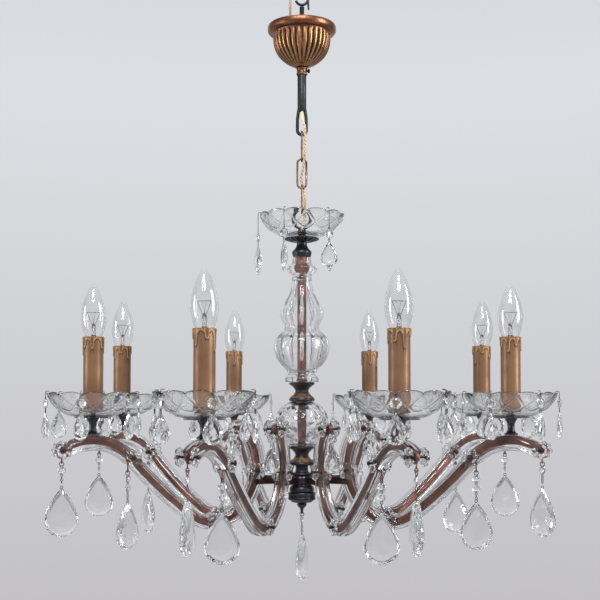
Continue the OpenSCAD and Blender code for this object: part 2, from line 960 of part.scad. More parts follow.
joint_drop(1);  // joint_drop_1
joint_drop(2);  // joint_drop_2
joint_drop(3);  // joint_drop_3
joint_drop(4);  // joint_drop_4
joint_drop(5);  // joint_drop_5
joint_drop(6);  // joint_drop_6
joint_drop(7);  // joint_drop_7
joint_drop(8);  // joint_drop_8
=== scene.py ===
import math

import bmesh
import bpy
import numpy as np
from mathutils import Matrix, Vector


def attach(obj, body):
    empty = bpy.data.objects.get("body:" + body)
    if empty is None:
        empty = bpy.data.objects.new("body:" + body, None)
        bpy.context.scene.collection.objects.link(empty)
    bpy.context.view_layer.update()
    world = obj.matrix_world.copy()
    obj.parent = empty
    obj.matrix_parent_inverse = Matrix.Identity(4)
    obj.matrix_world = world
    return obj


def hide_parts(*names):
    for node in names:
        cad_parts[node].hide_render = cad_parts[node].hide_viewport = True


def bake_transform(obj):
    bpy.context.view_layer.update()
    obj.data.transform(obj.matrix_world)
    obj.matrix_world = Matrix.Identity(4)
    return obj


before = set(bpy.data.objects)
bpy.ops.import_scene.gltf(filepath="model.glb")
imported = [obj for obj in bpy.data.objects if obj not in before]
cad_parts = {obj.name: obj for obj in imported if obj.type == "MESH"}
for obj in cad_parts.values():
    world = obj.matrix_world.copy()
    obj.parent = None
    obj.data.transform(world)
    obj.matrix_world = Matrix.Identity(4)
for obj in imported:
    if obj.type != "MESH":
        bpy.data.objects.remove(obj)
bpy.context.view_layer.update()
print("frame loaded:", len(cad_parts), "nodes")

rng = np.random.default_rng(7)


# A shape is a pair: vertices in millimetres (n, 3) and quads (m, 4).

def grid(points, closed=True):
    # rows x columns of points become rows-1 bands of quads; closed joins the last column to the first
    rows, cols = points.shape[:2]
    r = np.arange(rows - 1)[:, None]
    c = np.arange(cols if closed else cols - 1)[None, :]
    n = (c + 1) % cols
    quads = np.stack([r * cols + c, r * cols + n, (r + 1) * cols + n, (r + 1) * cols + c], -1)
    return points.reshape(-1, 3), quads.reshape(-1, 4)


def joined(shapes):
    # vertices one after another, each shape's quads counted on from those before it
    starts = np.cumsum([0] + [len(v) for v, q in shapes[:-1]])
    return (np.concatenate([v for v, q in shapes]),
            np.concatenate([q + s for (v, q), s in zip(shapes, starts)]))


def turn(axis, degrees):
    # rotation matrix about one axis
    a = math.radians(degrees)
    c, s = math.cos(a), math.sin(a)
    i, j = {"x": (1, 2), "y": (2, 0), "z": (0, 1)}[axis]
    m = np.eye(3)
    m[i, i], m[j, j], m[i, j], m[j, i] = c, c, -s, s
    return m


def moved(shape, by=(0, 0, 0), spin=None, scale=(1, 1, 1)):
    # vertex * scale, turned by spin, then shifted
    v, q = shape
    v = v * np.array(scale, float)
    if spin is not None:
        v = v @ spin.T
    return v + np.array(by, float), q


def smoothLine(points, n=6):
    # a curve of cubics through the points: the heading at each point is the mean of its two stretches,
    # the shorter one counting more, and it reaches only as far as the shorter stretch is long
    p = np.array(points, float)
    gap = np.diff(p, axis=0)
    size = np.maximum(np.linalg.norm(gap, axis=1), 1e-6)[:, None]
    way = gap / size
    heading = np.vstack([way[:1], (way[:-1] * size[1:] + way[1:] * size[:-1]) / (size[1:] + size[:-1]),
                         way[-1:]])
    t = np.linspace(0, 1, n, endpoint=False)[None, :, None]
    a, b = p[:-1, None], p[1:, None]
    reach = heading * np.minimum(np.vstack([size[:1], size]), np.vstack([size, size[-1:]]))
    fromA, toB = reach[:-1, None], reach[1:, None]
    line = (a * (2 * t ** 3 - 3 * t ** 2 + 1) + fromA * (t ** 3 - 2 * t ** 2 + t)
            + b * (3 * t ** 2 - 2 * t ** 3) + toB * (t ** 3 - t ** 2))
    return np.vstack([line.reshape(-1, p.shape[1]), p[-1:]])


def lathe(profile, segs=64, shape=None):
    # point(angle, i) = (r cos, r sin, z); shape(angle, r, z) may change r and z first
    p = np.array(profile, float)
    a = np.linspace(0, 2 * np.pi, segs, endpoint=False)[None, :]
    r = np.repeat(p[:, :1], segs, 1)
    z = np.repeat(p[:, 1:2], segs, 1)
    if shape is not None:
        r, z = shape(a + 0 * r, r, z)
    return grid(np.stack([r * np.cos(a), r * np.sin(a), z], -1))


def tube(path, radius, sides=10, taper=None):
    # point = p + r (cos a * side + sin a * up) carried along the path, both ends closed; taper scales r
    p = np.array(path, float)
    along = np.gradient(p, axis=0)
    along /= np.linalg.norm(along, axis=1)[:, None]
    ref = np.array([0.13, 0.97, 0.21])
    side = np.cross(along, ref)
    side /= np.linalg.norm(side, axis=1)[:, None]
    up = np.cross(side, along)
    a = np.linspace(0, 2 * np.pi, sides, endpoint=False)[None, :]
    r = radius * (np.ones((len(p), 1)) if taper is None else np.array(taper)[:, None])
    across, above = np.cos(a)[..., None], np.sin(a)[..., None]
    ring = p[:, None] + r[..., None] * (across * side[:, None] + above * up[:, None])
    ends = [np.repeat(ring[i].mean(0)[None, None], sides, 1) for i in (0, -1)]
    return grid(np.concatenate([ends[0], ring, ends[1]]))


def hoop(radius, wire, sides=8, around=24):
    # a circle of wire in the XZ plane: (R + w cos b) turned round the middle by a, with w sin b across
    a = np.linspace(0, 2 * np.pi, around, endpoint=False)[:, None]
    b = np.linspace(0, 2 * np.pi, sides, endpoint=False)[None, :]
    r = radius + wire * np.cos(b)
    pts = np.stack([r * np.cos(a), wire * np.sin(b) + 0 * a, r * np.sin(a)], -1)
    return grid(np.concatenate([pts, pts[:1]]))


def slab(outline, heights, insets, centre=(0, 0)):
    # rings of one outline in the XZ plane, each drawn towards the centre by its inset and set out along Y;
    # every other ring turns by half a step, which cuts the face into kites
    o = np.array(outline, float)
    c = np.array(centre, float)
    rows = []
    for k, (h, s) in enumerate(zip(heights, insets)):
        ring = 0.5 * (o + np.roll(o, -1, 0)) if k % 2 else o
        ring = c + (ring - c) * s
        rows.append(np.stack([ring[:, 0], np.full(len(o), h), ring[:, 1]], -1))
    front = np.array(rows)
    back = front[::-1] * np.array([1, -1, 1])
    return grid(np.concatenate([back, front]))


def build(name, shape, material, body, nodes=(), smooth=True, weld=0.002, crease=None,
          marks=None):
    # one finished object: welds poles and seams, turns faces outward, scales to metres;
    # marks is a value for every vertex, kept on the mesh for its material to read
    v, q = shape
    mesh = bpy.data.meshes.new(name)
    mesh.from_pydata(v.tolist(), [], q.tolist())
    if marks is not None:
        values = np.ascontiguousarray(marks, np.float32)
        mesh.attributes.new("mark", "FLOAT", "POINT").data.foreach_set("value", values)
    bm = bmesh.new()
    bm.from_mesh(mesh)
    bmesh.ops.remove_doubles(bm, verts=bm.verts, dist=weld)
    bmesh.ops.dissolve_degenerate(bm, edges=bm.edges, dist=weld / 2)
    bmesh.ops.recalc_face_normals(bm, faces=bm.faces)
    bm.to_mesh(mesh)
    bm.free()
    co = np.empty(len(mesh.vertices) * 3)
    mesh.vertices.foreach_get("co", co)
    mesh.vertices.foreach_set("co", co * 0.001)
    mesh.polygons.foreach_set("use_smooth", [smooth] * len(mesh.polygons))
    if crease:
        mesh.set_sharp_from_angle(angle=math.radians(crease))
    mesh.update()
    obj = bpy.data.objects.new(name, mesh)
    bpy.context.scene.collection.objects.link(obj)
    obj.data.materials.append(material)
    if nodes:
        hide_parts(*nodes)
    if body:
        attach(obj, body)
    return obj


def group(name, inputs, outputs):
    # an empty node group with named inputs and outputs
    tree = bpy.data.node_groups.new(name, "ShaderNodeTree")
    for label, kind, value in inputs:
        socket = tree.interface.new_socket(label, in_out="INPUT", socket_type=kind)
        socket.default_value = value
    for label, kind in outputs:
        tree.interface.new_socket(label, in_out="OUTPUT", socket_type=kind)
    return tree, tree.nodes.new("NodeGroupInput"), tree.nodes.new("NodeGroupOutput")


def node(tree, kind, links=None, **values):
    # adds a node, sets its fields, and links or sets its inputs
    n = tree.nodes.new(kind)
    for key, value in values.items():
        setattr(n, key, value)
    for key, value in (links or {}).items():
        if hasattr(value, "is_linked"):
            tree.links.new(value, n.inputs[key])
        else:
            n.inputs[key].default_value = value
    return n


def ramp(tree, factor, stops):
    # each stop is its place and its colour
    n = node(tree, "ShaderNodeValToRGB", {"Fac": factor})
    while len(n.color_ramp.elements) < len(stops):
        n.color_ramp.elements.new(0.5)
    for e, (pos, colour) in zip(n.color_ramp.elements, stops):
        e.position = pos
        e.color = (*colour, 1)
    return n.outputs["Color"]


black, white = (0.0, 0.0, 0.0), (1.0, 1.0, 1.0)


def handOut(tree, target, colour, rough, normal, colourName="Color"):
    # leads a finish's three results to the sockets of the group's end or of a shader
    tree.links.new(colour, target.inputs[colourName])
    tree.links.new(rough, target.inputs["Roughness"])
    tree.links.new(normal, target.inputs["Normal"])


def patinaGroup():
    # two noises: a broad one mixes the metal with its tarnish, a fine one roughens and dents it
    tree, gin, gout = group("patina", [
        ("Metal", "NodeSocketColor", (0.6, 0.4, 0.2, 1)),
        ("Tarnish", "NodeSocketColor", (0.1, 0.06, 0.04, 1)), ("Amount", "NodeSocketFloat", 0.5),
        ("Scale", "NodeSocketFloat", 60.0), ("Polish", "NodeSocketFloat", 0.3),
        ("Depth", "NodeSocketFloat", 0.2)],
        [("Color", "NodeSocketColor"), ("Roughness", "NodeSocketFloat"), ("Normal", "NodeSocketVector")])
    where = node(tree, "ShaderNodeTexCoord").outputs["Object"]
    broad = node(tree, "ShaderNodeTexNoise", {"Vector": where, "Scale": gin.outputs["Scale"],
                                              "Detail": 5.0})
    fineScale = node(tree, "ShaderNodeMath", {0: gin.outputs["Scale"], 1: 11.0}, operation="MULTIPLY")
    fine = node(tree, "ShaderNodeTexNoise", {"Vector": where, "Scale": fineScale.outputs[0], "Detail": 3.0})
    spread = ramp(tree, broad.outputs["Fac"], [(0.36, black), (0.66, white)])
    mask = node(tree, "ShaderNodeMath", {0: spread, 1: gin.outputs["Amount"]}, operation="MULTIPLY")
    colour = node(tree, "ShaderNodeMix", {"Factor": mask.outputs[0]}, data_type="RGBA")
    tree.links.new(gin.outputs["Metal"], colour.inputs[6])
    tree.links.new(gin.outputs["Tarnish"], colour.inputs[7])
    dull = node(tree, "ShaderNodeMath", {0: fine.outputs["Fac"], 1: 0.22}, operation="MULTIPLY")
    worn = node(tree, "ShaderNodeMath", {0: mask.outputs[0], 1: 0.25, 2: dull.outputs[0]},
                operation="MULTIPLY_ADD")
    rough = node(tree, "ShaderNodeMath", {0: worn.outputs[0], 1: gin.outputs["Polish"]}, operation="ADD",
                 use_clamp=True)
    bump = node(tree, "ShaderNodeBump", {"Height": fine.outputs["Fac"], "Strength": gin.outputs["Depth"],
                                         "Distance": 0.0004})
    handOut(tree, gout, colour.outputs[2], rough.outputs[0], bump.outputs["Normal"])
    return tree


def glassGroup():
    # slow waves from the mould bend the surface; faint smears, and cuts marked on the mesh, raise the
    # roughness
    tree, gin, gout = group("pressedGlass", [
        ("Scale", "NodeSocketFloat", 120.0), ("Wave", "NodeSocketFloat", 0.1),
        ("Smear", "NodeSocketFloat", 0.05), ("Frost", "NodeSocketFloat", 0.0),
        ("Clear", "NodeSocketColor", (0.98, 0.99, 0.99, 1)),
        ("Dust", "NodeSocketColor", (0.9, 0.9, 0.89, 1))],
        [("Color", "NodeSocketColor"), ("Roughness", "NodeSocketFloat"), ("Normal", "NodeSocketVector")])
    where = node(tree, "ShaderNodeTexCoord").outputs["Object"]
    waves = node(tree, "ShaderNodeTexNoise", {"Vector": where, "Scale": gin.outputs["Scale"],
                                              "Detail": 1.5})
    smears = node(tree, "ShaderNodeTexNoise", {"Vector": where, "Scale": 34.0, "Detail": 6.0,
                                               "Distortion": 1.2})
    mask = ramp(tree, smears.outputs["Fac"], [(0.48, black), (0.74, white)])
    mark = node(tree, "ShaderNodeAttribute", attribute_name="mark").outputs["Fac"]
    frost = node(tree, "ShaderNodeMath", {0: mark, 1: gin.outputs["Frost"]}, operation="MULTIPLY")
    rough = node(tree, "ShaderNodeMath", {0: mask, 1: gin.outputs["Smear"], 2: frost.outputs[0]},
                 operation="MULTIPLY_ADD")
    colour = node(tree, "ShaderNodeMix", {"Factor": mask}, data_type="RGBA")
    tree.links.new(gin.outputs["Clear"], colour.inputs[6])
    tree.links.new(gin.outputs["Dust"], colour.inputs[7])
    bump = node(tree, "ShaderNodeBump", {"Height": waves.outputs["Fac"], "Strength": gin.outputs["Wave"],
                                         "Distance": 0.001})
    handOut(tree, gout, colour.outputs[2], rough.outputs[0], bump.outputs["Normal"])
    return tree


patina = patinaGroup()
pressed = glassGroup()


def material(name, colour):
    # one shader on its own, with the flat colour shown while modelling
    m = bpy.data.materials.new(name)
    m.use_nodes = True
    m.diffuse_color = (*colour, 1)
    m.node_tree.nodes.clear()
    out = m.node_tree.nodes.new("ShaderNodeOutputMaterial")
    shader = m.node_tree.nodes.new("ShaderNodeBsdfPrincipled")
    m.node_tree.links.new(shader.outputs["BSDF"], out.inputs["Surface"])
    return m, m.node_tree, shader


def finish(tree, shader, shared, values):
    # one shared group with this material's own values, led to its shader
    g = node(tree, "ShaderNodeGroup", values, node_tree=shared)
    handOut(tree, shader, g.outputs["Color"], g.outputs["Roughness"], g.outputs["Normal"], "Base Color")


def metal(name, bright, tarnish, amount, scale, polish, depth, coat=0.0, metallic=1.0):
    # a bright metal under its tarnish; metallic 0 makes it paint or plastic
    m, tree, shader = material(name, bright)
    finish(tree, shader, patina, {"Metal": (*bright, 1), "Tarnish": (*tarnish, 1), "Amount": amount,
                                  "Scale": scale, "Polish": polish, "Depth": depth})
    shader.inputs["Metallic"].default_value = metallic
    shader.inputs["Coat Weight"].default_value = coat
    shader.inputs["Coat Roughness"].default_value = 0.12
    return m


def glass(name, ior, scale, wave, smear, clear=(0.98, 0.99, 0.99), frost=0.0):
    # clear glass with its mould's waves and smears; frost whitens the cuts marked on the mesh
    m, tree, shader = material(name, clear)
    finish(tree, shader, pressed, {"Scale": scale, "Wave": wave, "Smear": smear, "Frost": frost,
                                   "Clear": (*clear, 1), "Dust": (0.9, 0.9, 0.89, 1)})
    shader.inputs["Metallic"].default_value = 0.0
    shader.inputs["Transmission Weight"].default_value = 1.0
    shader.inputs["IOR"].default_value = ior
    return m


def edgeGroup():
    # painted light: the mark on the mesh runs from -1, painted shade beside a raised edge, through 0, to 1,
    # a painted highlight on the edge itself
    tree, gin, gout = group("paintedEdgeLight", [
        ("Color", "NodeSocketColor", (0.3, 0.2, 0.1, 1)), ("PaintedHighlight", "NodeSocketColor", (0.7, 0.5, 0.2, 1)),
        ("Shade", "NodeSocketFloat", 0.7)], [("Color", "NodeSocketColor")])
    mark = node(tree, "ShaderNodeAttribute", attribute_name="mark").outputs["Fac"]
    high = node(tree, "ShaderNodeMapRange", {"Value": mark, "From Min": 0.0, "From Max": 1.0})
    low = node(tree, "ShaderNodeMapRange", {"Value": mark, "From Min": 0.0, "From Max": -1.0})
    shade = node(tree, "ShaderNodeMath", {0: low.outputs[0], 1: gin.outputs["Shade"]}, operation="MULTIPLY")
    # painted highlight: towards the highlight colour where the mark is above 0
    lit = node(tree, "ShaderNodeMix", {"Factor": high.outputs[0]}, data_type="RGBA")
    tree.links.new(gin.outputs["Color"], lit.inputs[6])
    tree.links.new(gin.outputs["PaintedHighlight"], lit.inputs[7])
    # painted shade: towards near black where the mark is below 0
    paintedShadeMix = node(tree, "ShaderNodeMix", {"Factor": shade.outputs[0]}, data_type="RGBA")
    paintedShadeMix.inputs[7].default_value = (0.01, 0.006, 0.004, 1)
    tree.links.new(lit.outputs[2], paintedShadeMix.inputs[6])
    tree.links.new(paintedShadeMix.outputs[2], gout.inputs["Color"])
    return tree


paintedEdgeLight = edgeGroup()


def addPaintedEdgeLight(mat, rim, shade):
    # puts the marked edges between a metal's patina and its shader: rim is the painted highlight colour,
    # shade the strength of the painted shade
    tree = mat.node_tree
    shader = next(n for n in tree.nodes if n.type == "BSDF_PRINCIPLED")
    source = shader.inputs["Base Color"].links[0].from_socket
    g = node(tree, "ShaderNodeGroup", node_tree=paintedEdgeLight)
    g.inputs["Shade"].default_value = shade
    g.inputs["PaintedHighlight"].default_value = (*rim, 1)
    tree.links.new(source, g.inputs["Color"])
    tree.links.new(g.outputs["Color"], shader.inputs["Base Color"])


darkIron = metal("darkIron", (0.035, 0.045, 0.045), (0.012, 0.012, 0.012), 0.7, 45, 0.24, 0.3, metallic=0.8)
canopyCopper = metal("canopyCopper", (0.34, 0.16, 0.085), (0.1, 0.03, 0.018), 0.9, 26, 0.15, 0.15)
# painted highlight on the flute crests and painted shade in the flute valleys
addPaintedEdgeLight(canopyCopper, (0.44, 0.28, 0.13), 0.95)
agedBrass = metal("agedBrass", (0.24, 0.12, 0.07), (0.05, 0.025, 0.018), 0.6, 70, 0.25, 0.25)
chainBrass = metal("chainBrass", (0.27, 0.16, 0.1), (0.06, 0.03, 0.02), 0.7, 90, 0.2, 0.25)
armCopper = metal("armCopper", (0.27, 0.115, 0.085), (0.055, 0.024, 0.02), 0.8, 35, 0.2, 0.25,
                  metallic=0.85)
# painted shade darkens the tongue; no mark rises above 0, so the painted highlight is never shown
addPaintedEdgeLight(armCopper, (0.4, 0.2, 0.14), 0.75)
bluedBronze = metal("bluedBronze", (0.03, 0.03, 0.042), (0.012, 0.010, 0.012), 0.6, 50, 0.2, 0.2,
                    metallic=0.7, coat=0.3)
leafBronze = metal("leafBronze", (0.34, 0.2, 0.11), (0.035, 0.025, 0.022), 0.8, 110, 0.25, 0.35)
sleeveGilt = metal("sleeveGilt", (0.215, 0.112, 0.052), (0.105, 0.045, 0.022), 0.7, 24, 0.32, 0.3, coat=0.1,
                   metallic=0.35)
# painted highlight on the wax edges and the top lip, painted shade just below the wax edges
addPaintedEdgeLight(sleeveGilt, (0.5, 0.29, 0.12), 0.85)
beadDark = metal("beadDark", (0.055, 0.045, 0.045), (0.02, 0.014, 0.014), 0.5, 200, 0.2, 0.1)
flexCloth = metal("flexCloth", (0.66, 0.55, 0.38), (0.30, 0.17, 0.085), 1.0, 14, 0.5, 0.4, metallic=0.1)
holderPlastic = metal("holderPlastic", (0.82, 0.79, 0.7), (0.6, 0.56, 0.46), 0.5, 50, 0.4, 0.1,
                      metallic=0.0)
terminalPlastic = metal("terminalPlastic", (0.82, 0.8, 0.72), (0.55, 0.5, 0.42), 0.5, 60, 0.4, 0.1,
                        metallic=0.0)
filamentWire = metal("filamentWire", (0.3, 0.29, 0.28), (0.1, 0.09, 0.08), 0.4, 300, 0.3, 0.1)
clearGlass = glass("clearGlass", 1.5, 90, 0.16, 0.12)
dishGlass = glass("dishGlass", 1.5, 110, 0.06, 0.05, frost=0.7)
crystal = glass("crystal", 1.55, 200, 0.04, 0.05)
bulbGlass = glass("bulbGlass", 1.45, 60, 0.0, 0.02, (0.99, 0.99, 0.99))
print("materials ready")


stem = {"tubeR": 6.4, "rodR": 3.4, "top": -62, "foot": -165, "loopW": 18, "loopBar": 5, "loopBottom": -203}


def hangingStem():
    # a tube with two rods side by side above it, a long eye at its foot and most of a circle as its crook
    s = stem
    foot = s["foot"]
    body = smoothLine([(0, foot - 1.4), (4.6, foot - 1.2), (5.9, foot + 1.5), (s["tubeR"], foot + 8)], 4)
    top = [(s["tubeR"], s["top"] - 1), (5.6, s["top"]), (s["rodR"] + 0.8, s["top"]),
           (s["rodR"], s["top"] + 1.5), (s["rodR"], -12), (0, -12)]
    shank = lathe(np.vstack([body, top]), 48, lambda a, r, z: (
        r * (1 - 0.42 * (z > s["top"] + 1) * (1 - np.abs(np.cos(a)) ** 0.7)), z))
    r = (s["loopW"] - s["loopBar"]) / 2
    a = np.linspace(0, np.pi, 25)
    low = s["loopBottom"] + s["loopW"] / 2
    leg = np.array([(3.4, 0, foot + 12), (4.0, 0, foot + 4), (5.2, 0, foot - 4), (6.2, 0, foot - 11)])
    path = np.concatenate([leg, np.stack([r * np.cos(a), 0 * a, low - r * np.sin(a)], -1),
                           leg[::-1] * np.array([-1, 1, 1])])
    eye = tube(smoothLine(path, 3), s["loopBar"] / 2 - 0.1, 14)
    a = np.radians(np.linspace(-92, 250, 60))
    crook = tube(np.stack([9 * np.sin(a), 0 * a, 9 * np.cos(a)], -1), 1.9, 14)
    tail = tube(smoothLine([(9, 0, 0), (9.2, 0, -8), (10, 0, -16)], 5), 1.8, 12,
                taper=np.linspace(1, 0.75, 11))
    return joined([shank, eye, crook, tail])


linkSize = {"length": 46, "width": 16, "wire": 3, "tops": (-194.7, -234.4, -274.1), "across": (90, 0, 90)}


def chainLink(k):
    # straight sides and half-circle ends: the centre line of an oval, with round wire on it
    s = linkSize
    r = (s["width"] - s["wire"]) / 2
    h = (s["length"] - s["width"]) / 2
    a = np.linspace(0, np.pi, 17)
    upper = np.stack([r * np.cos(a), 0 * a, h + r * np.sin(a)], -1)
    line = np.concatenate([upper, -upper * np.array([1, 0, 1]), upper[:1]])
    shape = tube(line, s["wire"] / 2 - 0.02, 12)
    # the butt weld stands out a little on one side
    seam = lathe(smoothLine([(0, -2), (1.75, -1.2), (1.75, 1.2), (0, 2)], 3), 12)
    shape = joined([shape, moved(seam, (r, 0, 0))])
    return moved(shape, (0, 0, s["tops"][k] - s["length"] / 2), turn("z", s["across"][k]))


build("hangingStem", hangingStem(), darkIron, "hanger", ["suspension_stem"])
for k in range(3):
    build(f"chainLink{k + 1}", chainLink(k), chainBrass, f"link_{k + 1}", [f"chain_link_{k + 1}"])

flexRoute = [(-17, 2, 3), (-17, 2, -20), (-15, 1, -42), (-12, 0, -58), (-7, 0, -68), (-2, 0, -75),
             (0, 0, -84), (0, 0, -105), (0, 0, -130), (0, 0, -152), (0, -1, -164), (0, -4, -173),
             (1, -7.5, -181), (3, -8.5, -187), (4.4, -8, -192), (4.4, -5, -208), (4.4, -2.5, -218),
             (4.4, -2.7, -227), (3.5, -3, -238), (1.5, -2.5, -250), (0, 0, -257), (-1.5, 2.5, -264),
             (1.5, 3, -277), (4.4, 1.5, -288), (4.4, 0, -296), (4.4, -2, -303), (4.2, -4.5, -314),
             (4, -6, -324), (4, -7.5, -330), (2.5, -9.5, -335), (0.5, -9.2, -340), (0, -6, -344)]
flexLine = smoothLine(flexRoute, 10)
flexCuts = [("hanger", "link_1", -186, -208), ("link_1", "link_2", -222, -252),
            ("link_2", "link_3", -262, -290), ("link_3", "frame", -302, -326)]
flexNodes = [["flex_top"], ["flex_a"], ["flex_b"], ["flex_c", "flex_end"]]


def flexPieces():
    # one laid rope cut between the joints, each length running over one joint
    ends = [flexLine[0, 2] + 1, -217, -257, -295, -400]
    run = np.concatenate([[0], np.cumsum(np.linalg.norm(np.diff(flexLine, axis=0), axis=1))])
    for k, (a, b, start, end) in enumerate(flexCuts):
        order = np.arange(len(flexLine))
        keep = order[(flexLine[:, 2] <= ends[k]) & (flexLine[:, 2] >= ends[k + 1])]
        keep = np.arange(max(keep[0] - 1, 0), keep[-1] + 1)
        strand = []
        for phase in (0, math.pi):
            turnBy = run[keep] * 2 * np.pi / 11 + phase
            offset = np.stack([np.cos(turnBy), np.sin(turnBy), 0 * turnBy], -1) * 0.95
            strand.append(tube(flexLine[keep] + offset, 1.15, 8))
        obj = build(f"flex{k + 1}", joined(strand), flexCloth, None, flexNodes[k])
        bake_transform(obj)


flexPieces()

canopyShape = {"bell": 42, "top": -40, "height": 62, "flutes": 30, "fluteDepth": 2.3}


def canopy():
    # rolled rim, then a bell whose radius swells between the flutes: r - depth * |cos(n angle / 2)|
    c = canopyShape
    outer = [(46, 0), (49, -1.5), (50, -6), (49, -10.2), (45.5, -12.3), (42.4, -13.2), (42, -15),
             (41.8, -22), (40.5, -31), (37, -40), (31.5, -47.5), (24.5, -53.5), (18, -57.5), (12.5, -60),
             (10, -61.6), (8.2, -62), (6.7, -62)]
    inner = [(6.7, -60.4), (9, -60), (17.5, -55.8), (26, -49.5), (34.5, -39.5), (38.6, -30), (40, -20),
             (40.4, -12), (44, -10.6), (47, -9), (48.2, -6), (47, -3), (44.5, -1.6), (46, 0)]
    line = np.vstack([smoothLine(outer, 5), smoothLine(inner, 4)]) + np.array([0, c["top"]])

    def onBell(z, below, over):
        # 1 on the bell; it falls to 0 under the rim, and again at the foot
        foot = np.clip((z - c["top"] + c["height"] - 1.5) / 6, 0, 1)
        return np.clip((c["top"] - below - z) / over, 0, 1) * foot

    def fluted(a, r, z):
        fade = onBell(z, 13.4, 5)
        ripple = np.abs(np.cos(c["flutes"] / 2 * a)) ** 0.7
        return r - c["fluteDepth"] * fade * (r / c["bell"]) ** 0.6 * (1 - ripple), z

    shape = lathe(line, 360, fluted)
    # the valleys of the flutes are marked for shade and their crests for shine
    v = shape[0]
    valley = 1 - np.abs(np.cos(c["flutes"] / 2 * np.arctan2(v[:, 1], v[:, 0]))) ** 0.7
    return shape, onBell(v[:, 2], 14, 3) * np.interp(valley, [0, 0.2, 0.45, 0.8], [0.8, 0.0, -0.6, -1.0])


bell, bellMarks = canopy()
build("canopyBell", bell, canopyCopper, "canopy", ["canopy"], marks=bellMarks)
collarLine = [(6.65, -113.2), (7.4, -113.3), (7.9, -112.4), (7.9, -110.4), (7.3, -109.8), (7.3, -105.4),
              (7.9, -104.8), (7.9, -103), (7.4, -102.3), (6.65, -102.3), (6.65, -113.2)]
build("canopyCollar", lathe(smoothLine(collarLine, 3), 48), agedBrass, "canopy", ["canopy_collar"])


def clampScrew():
    # a thin shank and a knob whose rim sinks by a twentieth in every other of 32 steps
    shank = lathe(smoothLine([(0, 6.9), (1.4, 7.0), (1.45, 8.6)], 2), 16)
    side = smoothLine([(2.4, 8.45), (2.9, 9.0), (3, 10.6), (2.7, 11.6), (1.2, 12), (0, 12)], 3)
    knob = lathe(np.vstack([[(0, 8.45)], side]), 32,
                 lambda a, r, z: (r * (1 - 0.05 * (np.cos(16 * a) > 0) * (r > 2.3)), z))
    return moved(joined([shank, knob]), (0, 0, -106.8), turn("y", 90))


build("canopyScrew", clampScrew(), darkIron, "canopy_screw", ["canopy_screw"])
print("suspension built")


def topEye():
    # a closed ring standing on the nipple that holds the column together
    ring = hoop((29 - 4.5) / 2, 2.22, 14, 56)
    nipple = lathe(smoothLine([(0, -346.6), (5.9, -346.6), (6.4, -346), (6.4, -343), (5.6, -341.8),
                               (5.4, -340), (3.4, -338), (0, -337)], 4), 32)
    return joined([moved(ring, (0, 0, -325.8)), nipple])


ballGlassShape = {"cuts": 9, "depth": 2.3}
balusterShape = {"pearRibs": 12, "ballRibs": 16, "groove": 1.7, "width": 0.26}


def grooved(a, r, z, outside):
    # sharp grooves part the ribs of the pear and of the ball:
    # r - depth * exp(-(sin(n angle / 2) / width)^2)
    b = balusterShape
    pear = np.exp(-((z + 455) / 26) ** 4)
    ball = np.exp(-((z + 510) / 21) ** 4)
    cuts = [fade * np.exp(-(np.sin(n / 2 * a) / b["width"]) ** 2)
            for fade, n in ((pear, b["pearRibs"]), (ball, b["ballRibs"]))]
    return r - np.where(outside, b["groove"] * (cuts[0] + cuts[1]), 0), z


def hollow(outer, inner, segs, shape, steps=6):
    # outer skin upwards, inner skin back down; shape(angle, r, z, outside) cuts the outer skin
    o = smoothLine(outer, steps)
    i = smoothLine(inner, steps)
    line = np.vstack([o, i[::-1], o[:1]])
    outside = np.concatenate([np.ones(len(o)), np.zeros(len(i)), [1]])[:, None] > 0
    return lathe(line, segs, lambda a, r, z: shape(a, r, z, outside))


def baluster():
    # a pear over a ball, blown hollow, ribbed on the outside only
    outer = [(6.7, -560.2), (20, -560.2), (23.6, -559.6), (24, -557), (23.2, -553.5), (20.5, -550),
             (20, -548), (22, -543.5), (29, -536), (35.5, -527), (39.5, -517), (41, -508), (39, -499.5),
             (33.5, -492.5), (26.5, -486.5), (25, -481.5), (26.5, -476), (30, -469.5), (32, -462.5),
             (31, -456.5), (26, -446.5), (19.5, -434.5), (15.5, -420.5), (14.2, -410), (13.8, -408.6),
             (6.7, -408.5)]
    inner = [(6.7, -545), (12, -544.5), (19, -538.5), (28, -530), (34, -520), (36.8, -509), (35, -500),
             (29.5, -495), (22.5, -489), (20.8, -481.5), (22.5, -474.5), (26, -468), (27.8, -462.5),
             (26.5, -456), (21.5, -447), (15, -435), (11.2, -422), (9.5, -414), (6.7, -412.5)]
    return hollow(outer, inner, 288, grooved, 5)


def neckGlass():
    # a short glass collar whose widest part is lobed: r - 0.8 (1 - |cos 8a|)
    line = [(6.7, -407.8), (13.5, -407.8), (14.4, -407), (14.8, -404), (19, -401.5), (21.8, -397.5),
            (20.5, -394), (16, -391), (14, -387), (13.6, -381), (12.8, -380.1), (6.7, -380.1),
            (6.7, -407.8)]
    return lathe(smoothLine(line, 5), 96, lambda a, r, z: (
        r - 0.8 * (r > 14.5) * (1 - np.abs(np.cos(8 * a))), z))


def cutBall():
    # two families of grooves wind opposite ways and leave lozenges between them
    outer = [(6.7, -651.8), (16, -651.8), (17.5, -650.5), (24.5, -645.8), (32, -637.8), (37, -628),
             (38.5, -617), (36.5, -606), (30.5, -597), (22.5, -591), (16, -588.2), (6.7, -588)]
    inner = [(6.7, -646), (14, -646), (20, -641.5), (27, -634.5), (32, -626.5), (33.5, -617), (31.5, -608),
             (26, -601), (18, -595.5), (12, -593.5), (6.7, -593.5)]

    def cut(a, r, z, outside):
        t = (z + 617) / 64
        u = ballGlassShape["cuts"] * (a / (2 * np.pi) + t * 0.42)
        w = ballGlassShape["cuts"] * (a / (2 * np.pi) - t * 0.42)
        facet = np.maximum(np.abs(u - np.round(u)), np.abs(w - np.round(w))) * 2
        fade = np.clip(1.25 - (2.15 * np.abs(t)) ** 4, 0, 1)
        return r - np.where(outside, ballGlassShape["depth"] * fade * (1 - facet), 0), z

    return hollow(outer, inner, 216, cut, 7)


